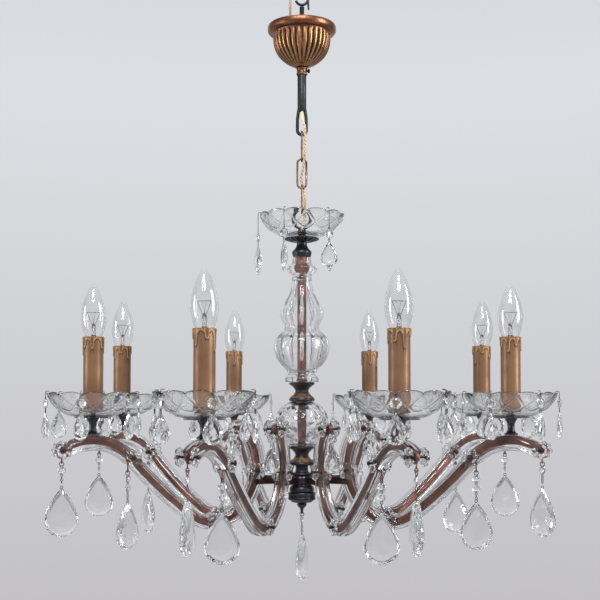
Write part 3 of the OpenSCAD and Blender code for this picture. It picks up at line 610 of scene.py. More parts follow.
def spoolMetal(top, wide, waist, h):
    # two flared ends with a raised ring at the waist, turned from one line
    line = [(6.7, 0), (wide - 1, 0), (wide, -1), (wide, -2.6), (wide - 1.5, -3.6), (wide - 3, -4.6),
            (waist + 3, -7), (waist + 0.6, -10), (waist, -12.5), (waist + 0.4, -14.2), (waist + 1.2, -15),
            (waist + 0.4, -15.8), (waist + 2, -18), (wide - 5, -20.5), (wide - 3, -21.5),
            (wide - 0.6, -h + 4), (wide, -h + 2.6), (wide, -h + 1), (wide - 1, -h), (6.7, -h), (6.7, 0)]
    return moved(lathe(smoothLine(line, 4)[::-1], 72), (0, 0, top))


def leafCollar(top, low, small, big, leaves=10):
    # a skirt of leaves: the rim falls by lobes, and each leaf bellies out along its rib
    a = np.linspace(0, 2 * np.pi, leaves * 12, endpoint=False)[None, :]
    t = np.linspace(0, 1, 9)[:, None]
    lobe = np.abs(np.cos(leaves / 2 * a))
    z = top + (low - top) * t * (0.7 + 0.3 * lobe ** 0.6)
    r = small + (big - small) * t ** 1.3 + 0.7 * np.sin(np.pi * t) * lobe
    outer = np.stack([r * np.cos(a), r * np.sin(a), z], -1)
    inner = np.stack([(r - 0.8) * np.cos(a), (r - 0.8) * np.sin(a), z], -1)
    return grid(np.concatenate([outer, inner[::-1], outer[:1]]))


def lathed(name, line, mat, nodes, segs=72, steps=4):
    # a turned piece of the column
    return build(name, lathe(smoothLine(line, steps), segs), mat, "frame", nodes)


build("topEye", topEye(), darkIron, "frame", ["top_eye"])
lathed("centreTube", [(5, -724), (6.4, -724), (6.45, -723.4), (6.45, -348), (6.3, -347.2), (5, -347.2),
                      (5, -724)],
       armCopper, ["centre_tube"], 32, 1)


def topSpool():
    # a plate with sixteen lobes round its edge, r (1 - 1/20 (1 - |cos 8a|^0.6)), on a turned neck
    plate = [(6.7, -357.3), (12, -357.3), (18, -355.6), (24.4, -353.6), (25, -352.8), (24.4, -352),
             (17, -351), (10, -350.4), (6.7, -350.4), (6.7, -357.3)]
    neck = [(6.7, -379.5), (12.4, -379.5), (13, -378.6), (13.6, -376), (14.3, -373.5), (13.6, -371),
            (9.6, -366.5), (7.6, -362), (7.4, -359), (7.3, -357.7), (6.7, -357.7), (6.7, -379.5)]

    def lobed(a, r, z):
        lobe = np.abs(np.cos(8 * a))
        return r * (1 - 0.05 * (r > 15) * (1 - lobe ** 0.6)), z - 0.7 * (r > 12) * lobe * (z < -353)

    return joined([lathe(smoothLine(plate, 4), 120, lobed), lathe(smoothLine(neck, 4), 72)])


build("topSpool", topSpool(), bluedBronze, "frame", ["top_spool"])
build("neckGlass", neckGlass(), clearGlass, "frame", ["neck_glass"])
build("balusterGlass", baluster(), clearGlass, "frame", ["baluster_glass"])
build("upperSpool", spoolMetal(-560.7, 18.4, 9.5, 26.8), bluedBronze, "frame", ["upper_spool"])
build("upperSpoolLeaves", leafCollar(-576.2, -584.4, 10.8, 17.6), leafBronze, "frame")
build("ballGlass", cutBall(), crystal, "frame", ["ball_glass"])
build("lowerSpool", spoolMetal(-652.3, 17.9, 9.5, 26.8), bluedBronze, "frame", ["lower_spool"])
build("lowerSpoolLeaves", leafCollar(-667.8, -676, 10.8, 17.2), leafBronze, "frame")
lathed("clampNut", [(6.7, -693.1), (13.4, -693.1), (14, -692.4), (13.6, -690.6), (10.4, -689.4),
                    (9.4, -688), (8.8, -684), (9.3, -681), (8.6, -679.8), (6.7, -679.7), (6.7, -693.1)],
       bluedBronze, ["clamp_nut"])


def hub():
    # eight lobes stand out where the arms enter
    line = [(6.7, -717.3), (15.5, -717.3), (17.4, -716.6), (17.9, -714.5), (17.2, -711), (14.5, -708.4),
            (14, -706.6), (16.8, -705), (17.9, -702), (17.9, -697.5), (16.6, -694.6), (13.5, -693.7),
            (6.7, -693.7), (6.7, -717.3)]
    return lathe(smoothLine(line, 4), 128, lambda a, r, z: (
        r - 1.1 * (r > 12) * (z > -708) * (1 - np.abs(np.cos(4 * a - math.pi / 2)) ** 0.5), z))


build("armHub", hub(), bluedBronze, "frame", ["arm_hub"])
lathed("hubCover", [(0, -732.6), (12, -732.6), (14.4, -732), (16, -730.4), (19.2, -728.6), (19.9, -726.6),
                    (19.3, -724.6), (19.3, -721.6), (19.9, -720), (19.2, -718.2), (17.5, -717.8),
                    (0, -717.8)],
       bluedBronze, ["hub_cover"], 96)
lathed("finial", [(0, -749), (1, -749), (1.6, -747), (2.2, -743), (3, -741), (5.2, -739), (6.9, -736.4),
                  (6.4, -734), (5, -733.3), (0, -733.2)],
       bluedBronze, ["finial"], 40)
print("column built")


arm = {"tip": (342, -652.5), "heading": 145,
       "arcs": [(71, 84), (560, -12), (48, -37), (48, -35), (81, -50), (81, -28), (45, -37)],
       "coreW": 10, "coreT": 4, "cladT": 6, "runs": [(0, 0), (1, 2), (3, 4), (5, 6)],
       "shift": (3.5, 1.5, 1.5, 1.5), "endGap": 4, "pinGap": 2.2, "pins": (0, 1, 3, 5, 7), "tongue": -700}
armAngles = [22.5 + 45 * k for k in range(8)]


def arcRun(pose, radius, degrees, step=2.5):
    # centre = p + R n, and p is turned by t about it; n is the left normal, a negative turn goes right
    s = math.copysign(1, degrees)
    h = np.radians(pose[2] + np.linspace(0, degrees,
                                         max(int(radius * math.radians(abs(degrees)) / step), 2) + 1))
    h0 = math.radians(pose[2])
    cx = pose[0] - s * radius * math.sin(h0)
    cz = pose[1] + s * radius * math.cos(h0)
    return np.stack([cx + s * radius * np.sin(h), cz - s * radius * np.cos(h), np.degrees(h)], -1)


def armPoses():
    # where the arm line starts and where each of its arcs ends: x, z and heading
    poses = [np.array([*arm["tip"], arm["heading"]], float)]
    for radius, degrees in arm["arcs"]:
        poses.append(arcRun(poses[-1], radius, degrees)[-1])
    return poses


poses = armPoses()


def runPoses(first, last, skip, cut):
    # poses of arcs first to last, a little left out at either end
    rows = []
    for k in range(first, last + 1):
        radius, degrees = arm["arcs"][k]
        run = arcRun(poses[k], radius, degrees)
        rows.append(run if k == first else run[1:])
    line = np.concatenate(rows)
    gone = np.concatenate([[0], np.cumsum(np.hypot(*np.diff(line[:, :2], axis=0).T))])
    want = np.linspace(skip, gone[-1] - cut, max(int((gone[-1] - cut - skip) / 2.8), 4))
    return np.stack([np.interp(want, gone, line[:, i]) for i in range(3)], -1)


def carried(line, section, swell=None):
    # section points (u to the left of the heading, v across) carried along the arm's line, ends closed
    h = np.radians(line[:, 2])[:, None]
    u, v = section[None, :, 0], section[None, :, 1]
    if swell is not None:
        u = u * swell[:, None]
    ring = np.stack([line[:, :1] - u * np.sin(h), v + 0 * h, line[:, 1:2] + u * np.cos(h)], -1)
    ends = [np.repeat(ring[i].mean(0)[None, None], ring.shape[1], 1) for i in (0, -1)]
    return grid(np.concatenate([ends[0], ring, ends[1]]))


def cladSection(side):
    # flat against the iron, three rolls outside: a broad one over the iron between two beads
    u = np.linspace(-1, 1, 33)
    middle = np.sqrt(np.clip(1 - (u / 0.52) ** 2, 0, 1)) * 2.9
    beads = np.sqrt(np.clip(1 - ((np.abs(u) - 0.77) / 0.23) ** 2, 0, 1)) * 2.3
    inner = 1.72
    v = 2.15 + 2.7 + np.maximum(middle, beads)
    edge = np.clip((1 - np.abs(u)) / 0.06, 0, 1)
    v = 2.15 + (v - 2.15) * (0.35 + 0.65 * edge ** 0.5)
    outer = np.stack([u * 10.4, side * v], -1)
    across = np.array([10.2, 5.6, 4.9, -4.9, -5.6, -10.2])
    flat = np.stack([across, side * np.where(np.abs(across) < 5.2, inner, 2.15)], -1)
    return np.concatenate([outer, flat])


def coreShape():
    # the iron strip, slightly crowned on both faces, with its tongue and its lugs
    a = np.linspace(0, 2 * np.pi, 24, endpoint=False)
    w, t = arm["coreW"] / 2 - 0.05, arm["coreT"] / 2
    section = np.stack([w * np.sign(np.cos(a)) * np.abs(np.cos(a)) ** 0.35,
                        t * np.sign(np.sin(a)) * np.abs(np.sin(a)) ** 0.3], -1)
    strip = carried(runPoses(0, 6, 0, 0), section)
    disc = lathe(smoothLine([(0, -2), (4.9, -2), (5.4, -1.4), (5.4, 1.4), (4.9, 2), (0, 2)], 3), 32)
    discs = [moved(disc, (poses[k][0], 0, poses[k][1]), turn("x", 90)) for k in arm["pins"]]
    x1 = poses[5][0]
    line = np.stack([np.linspace(9.2, x1 + 2, 12), np.full(12, arm["tongue"]), np.full(12, 0.0)], -1)
    tongue = carried(line, section)
    lugs = []
    for x, z, rise in ((arm["tip"][0], arm["tip"][1] - 15, 12), (poses[1][0] + 6, arm["tip"][1] - 29, 20)):
        lugs.append(moved(tube(smoothLine([(0, 0, 0), (0, 0, rise)], 4), 0.95, 10), (x, 0, z + 2.4)))
        lugs.append(moved(moved(hoop(2.2, 0.75, 8, 20), spin=turn("z", 90)), (x, 0, z)))
    marks = np.zeros(len(strip[0]) + len(tongue[0]) + sum(len(part[0]) for part in discs + lugs))
    # the tongue is marked -1, for painted shade
    marks[len(strip[0]):len(strip[0]) + len(tongue[0])] = -1
    return joined([strip, tongue] + discs + lugs), marks


def aroundArms(shape):
    return joined([moved(shape, spin=turn("z", a)) for a in armAngles])


core, coreMarks = coreShape()
for k, a in enumerate(armAngles):
    build(f"armIron{k + 1}", moved(core, spin=turn("z", a)), armCopper, "frame", [f"arm_{k + 1}"],
          marks=coreMarks)


def cladShape():
    strips = []
    for k, (first, last) in enumerate(arm["runs"]):
        skip = arm["endGap"] if k == 0 else arm["pinGap"]
        cut = arm["endGap"] if k == 3 else arm["pinGap"]
        line = runPoses(first, last, skip, cut)
        # ends drawn in a little, as fire polished
        t = np.linspace(0, 1, len(line))
        n = len(line)
        swell = 1 - 0.05 * np.exp(-(np.minimum(np.arange(n), n - 1 - np.arange(n)) / 0.8) ** 2)
        for side in (-1, 1):
            section = cladSection(side) + np.array([arm["shift"][k], 0])
            strips.append(carried(line, section, swell))
    return joined(strips)


build("armGlass", aroundArms(cladShape()), clearGlass, "frame", ["arm_glass"], crease=50)

rosetteShape = {"petals": 8, "radius": 11.9, "height": 4.6}


def rosette():
    # rows outward: a small dome, a ring groove, then petals with a rib each; the back is nearly flat
    s = np.linspace(0.0, 1, 13)[:, None]
    a = np.linspace(0, 2 * np.pi, rosetteShape["petals"] * 6, endpoint=False)[None, :]
    lobe = np.abs(np.cos(rosetteShape["petals"] / 2 * a))
    rim = 0.8 + 0.2 * lobe ** 0.7
    r = rosetteShape["radius"] * s * (1 + (rim - 1) * s)
    dome = np.where(s < 0.36, 1.9 * np.sqrt(np.clip(1 - (s / 0.36) ** 2, 0, 1)), 0)
    petal = 2.4 * np.sin(np.pi * np.clip((s - 0.3) / 0.75, 0, 1)) * (0.45 + 0.55 * lobe)
    h = 1.5 + dome + petal + 0.7 * s
    front = np.stack([r * np.cos(a), r * np.sin(a), h + 0 * a], -1)
    back = np.stack([r * np.cos(a), r * np.sin(a), 0.15 + 1.1 * s ** 2 + 0 * a], -1)
    return grid(np.concatenate([front, back[::-1]]))


def rosettePairs():
    # a flower on each side of every joint, a stud in its middle and one pin through both
    flowers, pins = [], []
    flower = rosette()
    stud = lathe(smoothLine([(0, 0), (2.2, 0.2), (2.85, 1.6), (2.2, 3.1), (0, 3.7)], 3), 16)
    shaft = lathe([(0, -13), (1.45, -13), (1.45, 13), (0, 13)], 12)
    near = arm["coreT"] / 2 + arm["cladT"] + 0.3
    for k in arm["pins"]:
        at = (poses[k][0], 0, poses[k][1])
        for n, side in enumerate((90, -90)):
            out = -1 if side == 90 else 1
            spin = turn("x", side) @ turn("z", 11 * k + 7 * n)
            flowers.append(moved(flower, (at[0], out * near, at[2]), spin))
            pins.append(moved(stud, (at[0], out * (near + 4.7), at[2]), spin))
        pins.append(moved(shaft, at, turn("x", 90)))
    return joined(flowers), joined(pins)


flowers, pins = rosettePairs()
build("armRosettes", aroundArms(flowers), clearGlass, "frame", ["rosettes"], crease=60)
build("armPins", aroundArms(pins), beadDark, "frame", ["rosette_pins"])
print("arms built")


crestR = arm["tip"][0] - arm["arcs"][0][0] * math.sin(math.radians(arm["heading"]))
crestZ = arm["tip"][1] + arm["arcs"][0][0] * (1 + math.cos(math.radians(arm["heading"])))
postFoot = crestZ + 5
dishZ = postFoot + 25.5 + 0.3
sleeveZ = dishZ + 5.7
sleeveTop = sleeveZ + 101


def candleAt(k, z=0):
    # (R cos a, R sin a, z) over the crest of arm k
    a = math.radians(armAngles[k])
    return crestR * math.cos(a), crestR * math.sin(a), z


def aroundCandles(makeOne):
    # makeOne(k) gives the shape for candle k standing on the origin
    return joined([moved(makeOne(k), candleAt(k)) for k in range(len(armAngles))])


def post(k):
    # the plate under the dish on its waisted stem, its foot flattened to the strip
    line = [(0, 1.0), (7, 1.4), (9.4, 2.4), (9, 3.6), (6.6, 5.2), (5, 8), (4.7, 12), (5, 16.5), (6.4, 20),
            (8, 22.6), (8.2, 23.8), (19.5, 24.0), (24.6, 24.6), (24.9, 25.0), (24.2, 25.4), (19, 25.3),
            (10, 25.3), (4.4, 25.4), (4.4, 36), (0, 36)]
    shape = lathe(smoothLine(line, 4), 56)
    foot = moved(lathe(smoothLine([(0, -1), (8.5, -0.6), (9.5, 0.6), (7, 2), (0, 2.2)], 3), 32),
                 scale=(1, 0.19, 1))
    return moved(joined([shape, foot]), (0, 0, postFoot), turn("z", armAngles[k]))


build("candlePosts", aroundCandles(post), bluedBronze, "frame", ["candle_posts"])

dish = {"radius": 61.6, "height": 32.6, "scallops": 12, "notch": 3.6, "arcs": 12, "arcDrop": 21,
        "cut": 0.55}


def dishShape():
    # s runs from the middle to the rim; the rim dips at each scallop's notch,
    # and two sets of arcs, each two scallops wide, cross one another on the wall
    d = dish
    outer = smoothLine([(7.2, 0.1), (24, 0.1), (31, 1.6), (38, 4.8), (44.5, 9.2), (50.5, 15), (55.5, 21),
                        (59.5, 27.5), (61.6, 32.4)], 7)
    inner = smoothLine([(7.2, 3.4), (23.8, 3.5), (30.4, 4.9), (37, 8), (43, 12.2), (48.6, 17.5),
                        (53.5, 23.1), (57.6, 28.6), (60.3, 32.4)], 3)
    a = np.linspace(0, 2 * np.pi, 288, endpoint=False)[None, :]
    lobe = np.abs(np.sin(d["scallops"] / 2 * a)) ** 0.55

    def skin(line, cut):
        s = np.linspace(0, 1, len(line))[:, None]
        r = line[:, :1] + 0 * a
        z = line[:, 1:2] + 0 * a
        up = np.clip((s - 0.45) / 0.55, 0, 1)
        drop = d["notch"] * (1 - lobe) * up ** 2.2
        belly = 0.9 * lobe * np.sin(np.pi * up) ** 1.0
        grooves = 0
        for phase in (0.0, 0.5):
            u = (a / (2 * np.pi) * d["arcs"] / 2 + phase) % 1
            lineZ = 32 - d["notch"] * 0.7 - d["arcDrop"] * np.sin(np.pi * u) ** 0.85
            near = np.exp(-((z - lineZ) / 0.75) ** 2)
            grooves = np.maximum(grooves, near)
        star = np.exp(-((r - 30 - 3 * np.abs(np.sin(12 * a))) / 1.1) ** 2) * 0.8
        out = cut * (np.maximum(grooves, star) * d["cut"]) + (0.55 * belly)
        side = r + out - 0.25 * drop
        return np.stack([side * np.cos(a), side * np.sin(a), z - drop - cut * 0.35 * grooves],
                        -1), grooves + 0 * star

    out, cuts = skin(outer, 1.0)
    ins, plain = skin(inner, 0.0)
    lip = 0.5 * (out[-1:] + ins[-1:]) + np.array([0, 0, 0.5])
    marks = np.concatenate([cuts, 0 * cuts[:1], 0 * plain, cuts[:1]])
    return grid(np.concatenate([out, lip, ins[::-1], out[:1]])), marks.ravel()


oneDish, dishMarks = dishShape()
dishTurns = (10, 40, 25, 60, -3, 14, -9, 25)
upperDish = {"z": -350, "turn": -23}
for k in range(len(armAngles)):
    shape = moved(oneDish, candleAt(k, dishZ), turn("z", dishTurns[k] - 90))
    build(f"candleDish{k + 1}", shape, dishGlass, "frame", ["dishes"], marks=dishMarks)
shape = moved(oneDish, (0, 0, upperDish["z"]), turn("z", upperDish["turn"] - 90))
build("upperDish", shape, dishGlass, "frame", ["upper_dish"], marks=dishMarks)

sleeve = {"radius": 13.2, "thick": 1.3, "collar": 3.5, "length": 101, "segs": 160,
          "drips": ((8, 27, 11), (52, 15, 12), (101, 23, 10), (163, 17, 12), (215, 28, 10), (262, 14, 12),
                    (318, 22, 11))}
sleeveMarks = []


def sleeveShape(k):
    # the wax hangs down to its own depth at each angle: length * (1 - |offset / width|^3)^(1/3) for
    # every drip,
    # with a lower broad shoulder that leaves an arch between two drips;
    # across its edge it rises as a quarter circle, and the edge is marked: a painted highlight along it,
    # painted shade on the sleeve just below it, and darker wax further in
    d = sleeve
    z = np.concatenate([np.linspace(0, 66, 8), np.linspace(66.5, 100.4, 62)])[:, None]
    a = np.linspace(0, 2 * np.pi, d["segs"], endpoint=False)[None, :]
    deg = (np.degrees(a) + 47 * k) % 360
    depth = d["collar"] + 0 * a
    for at, length, wide in d["drips"]:
        off = np.abs((deg - at + 180) % 360 - 180) / wide
        long = length * (1 - 0.25 * ((k * 7 + at) % 5) / 4)
        depth = np.maximum(depth, long * np.clip(1 - off ** 3, 0, 1) ** (1 / 3))
        depth = np.maximum(depth, d["collar"] * 0.6 + 0.42 * long * np.exp(-(off / 1.9) ** 2))
    slope = np.gradient(depth[0]) / (d["radius"] * 2 * np.pi / d["segs"])
    inside = (depth - (d["length"] - z)) / np.sqrt(1 + slope[None, :] ** 2)
    rise = np.sqrt(np.clip(1 - (1 - np.clip(inside / 1.5, 0, 1)) ** 2, 0, 1))
    r = d["radius"] + d["thick"] * rise * (0.85 + 0.15 * np.exp(-((inside - 1.5) / 1.5) ** 2))
    # painted highlight along the wax edge, painted shade just below it; the wax further in is darker
    mark = np.exp(-((inside - 0.9) / 0.8) ** 2) * 0.9 - np.exp(-((inside + 0.6) / 0.6) ** 2) * (z > 60)
    mark = mark - 0.35 * (inside > 2.4)
    outer = np.stack([r * np.cos(a), r * np.sin(a), z + 0 * a], -1)
    lip = np.stack([(d["radius"] + 0.4) * np.cos(a), (d["radius"] + 0.4) * np.sin(a),
                    d["length"] - 0.05 + 0 * a], -1)
    down = np.array([[d["length"] - 0.8], [80], [0.0]])
    bore = d["radius"] - 1.0
    inner = np.stack([bore * np.cos(a) + 0 * down, bore * np.sin(a) + 0 * down, down + 0 * a], -1)
    # the lip is marked 0.6, a painted highlight
    sleeveMarks.append(np.concatenate([mark.ravel(), np.full(d["segs"], 0.6), np.zeros(4 * d["segs"])]))
    return moved(grid(np.concatenate([outer, lip, inner, outer[:1]])), (0, 0, sleeveZ))


sleeves = aroundCandles(sleeveShape)
build("candleSleeves", sleeves, sleeveGilt, "frame", ["candle_sleeves"],
      marks=np.concatenate(sleeveMarks))


def holder(k):
    # a plain tube with a step inside for the bulb's cap
    line = [(4.7, 0.1), (10, 0.1), (10.8, 1), (10.8, 60), (9.8, 62), (9.8, 84), (9, 85.7), (7.4, 85.8),
            (7.3, 64), (4.7, 62), (4.7, 0.1)]
    return moved(lathe(smoothLine(line, 3), 40), (0, 0, dishZ + 6))


build("lampHolders", aroundCandles(holder), holderPlastic, "frame", ["lamp_holders"])

bulbLean = rng.uniform(-1.6, 1.6, (8, 2))


def leant(shape, k):
    # the bulb tips a little about its neck
    return moved(moved(shape, spin=turn("x", bulbLean[k][0]) @ turn("y", bulbLean[k][1])),
                 (0, 0, sleeveTop - 6))


def bulbEnvelope(k):
    # a thin wall: the outer line and the same line set in by 0.55 along its normal
    outer = [(7.2, -2), (8.2, 0), (10, 4), (13.2, 11), (16, 20), (17.35, 29), (17.2, 37), (15.9, 46),
             (13.5, 55), (10.2, 64), (6.6, 71.5), (3.2, 75.6), (0, 76.8)]
    line = smoothLine(outer, 5)
    t = np.gradient(line, axis=0)
    t /= np.linalg.norm(t, axis=1)[:, None]
    inner = line - 0.55 * np.stack([t[:, 1], -t[:, 0]], -1)
    inner[-1, 0] = 0
    return leant(lathe(np.vstack([line, inner[::-1], line[:1]]), 56), k)


def bulbPress(k):
    # a waisted foot that is pinched flat above: r (1 - 0.35 |sin a|)
    line = [(0, -1), (7.0, -1), (6.4, 1.5), (4.6, 4), (3.2, 8), (2.6, 13), (3.3, 17), (2.4, 20.5),
            (0, 21.4)]
    return leant(lathe(smoothLine(line, 4), 32, lambda a, r, z: (
        r * (1 - 0.35 * np.clip((z - 10) / 6, 0, 1) * np.abs(np.sin(a))), z)), k)


def bulbWires(k):
    # two leads open like a V to the filament, a wavy line x = -8.4 to 8.4, with two thin hooks under it
    spin = turn("z", (0, 20, -15, 8, 24, -10, 12, -20)[k])
    lines = [[(0.9 * s, 0, 14), (1.6 * s, 0, 20), (5.2 * s, 0, 30), (8.2 * s, 0, 37.6), (8.5 * s, 0, 39.2)]
             for s in (-1, 1)]
    posts = [tube(smoothLine(line, 4), 0.36, 6) for line in lines]
    t = np.linspace(0, 1, 60)
    coil = np.stack([-8.4 + 16.8 * t, 0.8 * np.sin(np.pi * t), 38.6 + 0.5 * np.sin(34 * np.pi * t)], -1)
    hooks = [tube(smoothLine([(0, 0, 22), (0.8 * s, 0.6, 30), (2.8 * s, 0.8, 38.4)], 4), 0.18, 5)
             for s in (-1, 1)]
    dot = lathe(smoothLine([(0, 20.2), (1.5, 21), (1.9, 22.4), (1.4, 24), (0, 24.6)], 3), 12)
    return leant(moved(joined(posts + hooks + [tube(coil, 0.26, 5), dot]), spin=spin), k)


def bulbCap(k):
    # the thread is r + 0.3 sin(2 pi z / 3.5 + angle)
    line = [(0, -24), (3, -24), (4, -21.5), (6.6, -20), (6.7, -3), (6.9, -1.4), (0, -1.3)]
    cap = lathe(smoothLine(line, 6), 36, lambda a, r, z: (
        r + 0.3 * (r > 5) * (z < -4) * np.sin(z * 2 * np.pi / 3.5 + a), z))
    return leant(cap, k)


build("bulbEnvelopes", aroundCandles(bulbEnvelope), bulbGlass, "frame", ["bulbs"])
build("bulbPresses", aroundCandles(bulbPress), dishGlass, "frame")
build("bulbWires", aroundCandles(bulbWires), filamentWire, "frame")
build("bulbCaps", aroundCandles(bulbCap), agedBrass, "frame")
print("candles built")


def almondLine(length, width, n):
    # x = w/2 sin t |sin t/2| / 0.77, z = -l/2 (1 - cos t): pointed above, round below
    t = np.linspace(0, 2 * np.pi, n, endpoint=False)
    return np.stack([width / 2 * np.sin(t) * np.abs(np.sin(t / 2)) / 0.77,
                     -length / 2 + length / 2 * np.cos(t)], -1)


def bigAlmond():
    # a broad clear face with two rows of cut facets round the edge
    line = almondLine(64.6, 43.6, 28)
    heights = [0, 1.0, 3.2, 4.9, 5.7, 5.9, 5.9]
    insets = [1.0, 0.99, 0.93, 0.8, 0.5, 0.25, 0.0]
    return slab(line, heights, insets, (0, -40))


def smallAlmond():
    # the same outline, smaller, cut all over
    line = almondLine(36.6, 23.6, 16)
    return slab(line, [0, 0.8, 2.3, 3.4, 3.9, 3.9], [1.0, 0.97, 0.78, 0.55, 0.3, 0.0], (0, -22))


def cutBead(size, thick):
    # a flat bead of sixteen sides: the point at angle a is (size / 2) (cos a, sin a)
    a = np.radians(11.25 + 22.5 * np.arange(16))
    line = np.stack([np.cos(a), np.sin(a)], -1) * size / 2
    heights = [0, 0.7, thick * 0.36, thick / 2 - 0.1, thick / 2 - 0.1]
    return slab(line, heights, [1, 0.98, 0.72, 0.4, 0])


def wireEye(z, r=1.7):
    # one small closed ring of wire
    return moved(hoop(r, 0.42, 6, 16), (0, 0, z))


def smallSet(beadAt, topAt, hookAt, ball, tilt):
    # hook, bead and almond hang one under another; the wires are given apart from the glass
    glassParts = [moved(cutBead(13.6, 6), (0, 0, beadAt)),
                  moved(smallAlmond(), (0, 0, topAt), turn("z", tilt))]
    wires = [wireEye(topAt + 0.4), wireEye(beadAt - 7.4, 1.4), wireEye(beadAt + 7.2, 1.5),
             tube(smoothLine([(0, 0, beadAt + 8), (0, 0, hookAt - 1), (0, 0.9, hookAt), (0, 5, hookAt)], 4),
                  0.45, 6)]
    if ball:
        bead = lathe(smoothLine([(0, -3), (2.2, -2), (3, 0), (2.2, 2), (0, 3)], 2), 12)
        glassParts.append(moved(bead, (0, 0, topAt - 36.6 - 2.6)))
    return joined(glassParts), joined(wires)


rimHang = {"out": 63.5, "hook": 33.9, "perDish": 6, "upperTilts": (23, -50, -37)}


def smallDrops():
    # drops round the rims of the dishes, and one on every inner scroll of the arms
    glassParts, wires = [], []

    def hang(parts, at, spin):
        glassParts.append(moved(parts[0], at, spin))
        wires.append(moved(parts[1], at, spin))

    h = rimHang
    step = 360 / h["perDish"]
    out = np.array([0, -h["out"], 0])
    for k, tilt in enumerate(h["upperTilts"]):
        spin = turn("z", upperDish["turn"] + step * (k - 1))
        hang(smallSet(-3, -14, h["hook"], True, tilt), spin @ out + np.array([0, 0, upperDish["z"]]), spin)
    for n, a in enumerate(armAngles):
        for k in range(h["perDish"]):
            spin = turn("z", dishTurns[n] + step * k)
            tilt = 17 * ((n + k * 2) % 4 - 1.5)
            hang(smallSet(18, 7, h["hook"], False, tilt), spin @ out + np.array(candleAt(n, dishZ)), spin)
        at = turn("z", a) @ np.array([poses[7][0] + 11, 0, poses[7][1]])
        hang(smallSet(-13, -24, 0, False, 25 * (n % 3 - 1)), at, turn("z", a + 90))
    return joined(glassParts), joined(wires)


smallGlass, smallWires = smallDrops()
build("smallDrops", smallGlass, crystal, "frame", ["small_drops"], smooth=False)
build("smallDropWires", smallWires, beadDark, "frame")


def hungDrop(beads, top, spinBy):
    # a chain of wire rings with its beads and the large almond, all turned but the top ring
    glassParts = [moved(cutBead(10.8, 5.8), (0, 0, -b)) for b in beads] + [moved(bigAlmond(), (0, 0, -top))]
    wires = [moved(hoop(2.9, 0.55, 8, 24), (0, 0, -3))]
    levels = [-b for b in beads]
    for upper, lower in zip([-5.6] + [z - 5.4 for z in levels], [z + 5.4 for z in levels] + [-top + 1]):
        gap = upper - lower
        for i in range(max(int(gap / 4.4), 0) + 1):
            wires.append(moved(wireEye(0, 1.5), (0, 0, upper - 1.4 - i * 3.1), turn("z", 90 * (i % 2))))
    wires.append(wireEye(-top + 0.2, 1.9))
    spin = turn("z", spinBy)
    turned = [wires[0]] + [moved(w, spin=spin) for w in wires[1:]]
    return joined([moved(g, spin=spin) for g in glassParts]), joined(turned)


tipTurns = (-28, -15, 5, 30, 0, 13, -15, -35)
jointTurns = (-3, 70, -40, -38, 39, -67, 67, 22)
for n, a in enumerate(armAngles):
    for name, x, z, beads, top, spinBy in (
            ("tip", arm["tip"][0], arm["tip"][1] - 15, (11,), 34, tipTurns[n]),
            ("joint", poses[1][0] + 6, arm["tip"][1] - 29, (11, 24), 41, jointTurns[n])):
        parts = hungDrop(beads, top, spinBy)
        at = turn("z", a) @ np.array([x, 0, z])
        body = f"{name}_drop_{n + 1}"
        build(f"{name}Drop{n + 1}", moved(parts[0], at, turn("z", a)), crystal, body, [body],
              smooth=False)
        build(f"{name}DropWire{n + 1}", moved(parts[1], at, turn("z", a)), beadDark, body)
parts = hungDrop((11,), 32, 75)
build("centreDrop", moved(parts[0], (0, 0, -746.1)), crystal, "centre_drop", ["centre_drop"],
      smooth=False)
build("centreDropWire", moved(parts[1], (0, 0, -746.1)), beadDark, "centre_drop")
print("crystals built")

# the terminal block keeps its own shape
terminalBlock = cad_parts["terminal_block"]
terminalBlock.data.materials.clear()
terminalBlock.data.materials.append(terminalPlastic)


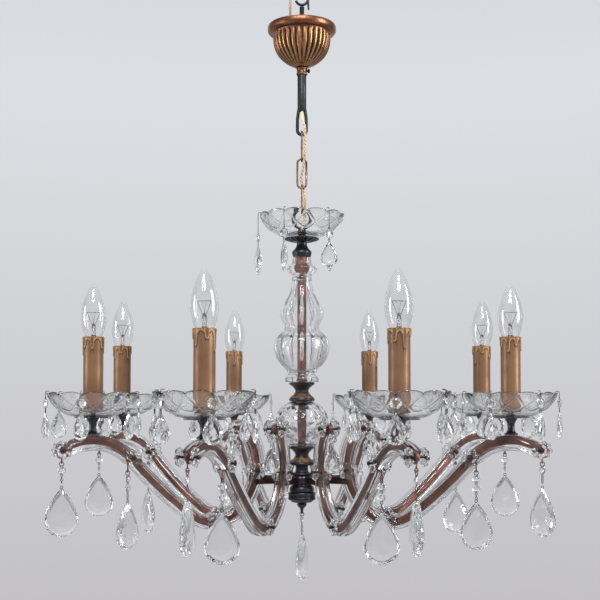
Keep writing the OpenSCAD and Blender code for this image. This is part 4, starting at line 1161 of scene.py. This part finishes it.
def studioWorld():
    # pale at eye level, darker below and above, with darker bands at the sides for the glass to draw on
    world = bpy.data.worlds.new("studio")
    bpy.context.scene.world = world
    world.use_nodes = True
    tree = world.node_tree
    tree.nodes.clear()
    out = tree.nodes.new("ShaderNodeOutputWorld")
    way = node(tree, "ShaderNodeTexCoord").outputs["Generated"]
    parts = node(tree, "ShaderNodeSeparateXYZ", {"Vector": way})
    height = node(tree, "ShaderNodeMapRange", {"Value": parts.outputs["Z"], "From Min": -1.0,
                                               "From Max": 1.0})
    stops = [(0.0, (0.3, 0.29, 0.31)), (0.26, (0.42, 0.41, 0.43)), (0.42, (0.55, 0.54, 0.57)),
             (0.5, (0.61, 0.61, 0.64)), (0.64, (0.72, 0.74, 0.77)), (0.8, (0.56, 0.58, 0.6)),
             (1.0, (0.25, 0.25, 0.27))]
    tone = ramp(tree, height.outputs[0], stops)
    side = node(tree, "ShaderNodeMath", {0: parts.outputs["X"]}, operation="ABSOLUTE")
    dark = node(tree, "ShaderNodeMapRange", {"Value": side.outputs[0], "From Min": 0.68, "From Max": 0.9,
                                             "To Min": 1.0, "To Max": 0.2})
    behind = node(tree, "ShaderNodeMapRange", {"Value": parts.outputs["Y"], "From Min": -0.2,
                                               "From Max": -0.7, "To Min": 1.0, "To Max": 0.55})
    both = node(tree, "ShaderNodeMath", {0: dark.outputs[0], 1: behind.outputs[0]}, operation="MULTIPLY")
    shade = node(tree, "ShaderNodeMix", {"Factor": 1.0}, data_type="RGBA", blend_type="MULTIPLY")
    tree.links.new(tone, shade.inputs[6])
    tree.links.new(both.outputs[0], shade.inputs[7])
    sky = node(tree, "ShaderNodeBackground", {"Color": shade.outputs[2], "Strength": 1.0})
    tree.links.new(sky.outputs[0], out.inputs["Surface"])


def softbox(name, at, size, power, towards=(0, 0, -0.5)):
    # a soft rectangle of light that faces a point
    light = bpy.data.lights.new(name, "AREA")
    light.shape = "RECTANGLE"
    light.size, light.size_y = size
    light.energy = power
    obj = bpy.data.objects.new(name, light)
    obj.location = at
    obj.rotation_euler = (Vector(towards) - Vector(at)).to_track_quat("-Z", "Y").to_euler()
    bpy.context.scene.collection.objects.link(obj)


def studioFloor():
    # a wide disc far below, its surface a faint mottled grey
    a = np.linspace(0, 2 * np.pi, 96, endpoint=False)[None, :]
    r = np.linspace(0, 4000, 12)[:, None]
    floor = build("studioFloor", grid(np.stack([r * np.cos(a), r * np.sin(a), -1750 + 0 * r * a], -1)),
                  metal("floorPaint", (0.5, 0.5, 0.52), (0.45, 0.45, 0.475), 0.6, 3, 0.6, 0.05,
                        metallic=0.0), None)


studioWorld()
studioFloor()
softbox("windowRight", (2.3, -0.9, 0.1), (0.5, 1.9), 60)
softbox("windowTopLeft", (-0.45, -2.0, 1.5), (0.35, 1.2), 42)
softbox("windowTopRight", (0.25, -2.0, 1.5), (0.35, 1.2), 42)
softbox("skylight", (0, 0.4, 2.2), (2.2, 2.2), 14)
softbox("fillLeft", (-2.4, -0.6, -0.4), (0.6, 1.6), 30)

view = {"distance": 1.551, "height": -0.592, "pitch": 2.35, "shift": 0.1, "lens": 64.6, "roll": 0.1}
cam = bpy.data.cameras.new("camera")
cam.lens = view["lens"]
cam.sensor_width = 36
cam.shift_y = view["shift"]
camObj = bpy.data.objects.new("camera", cam)
camObj.location = (0, -view["distance"], view["height"])
camObj.rotation_euler = (math.radians(90 + view["pitch"]), 0, math.radians(view["roll"]))
scene = bpy.context.scene
scene.collection.objects.link(camObj)
scene.camera = camObj
scene.view_settings.view_transform = "Standard"
scene.cycles.max_bounces = 20
scene.cycles.transmission_bounces = 20
scene.cycles.glossy_bounces = 8
scene.cycles.sample_clamp_indirect = 6.0
print("studio ready")
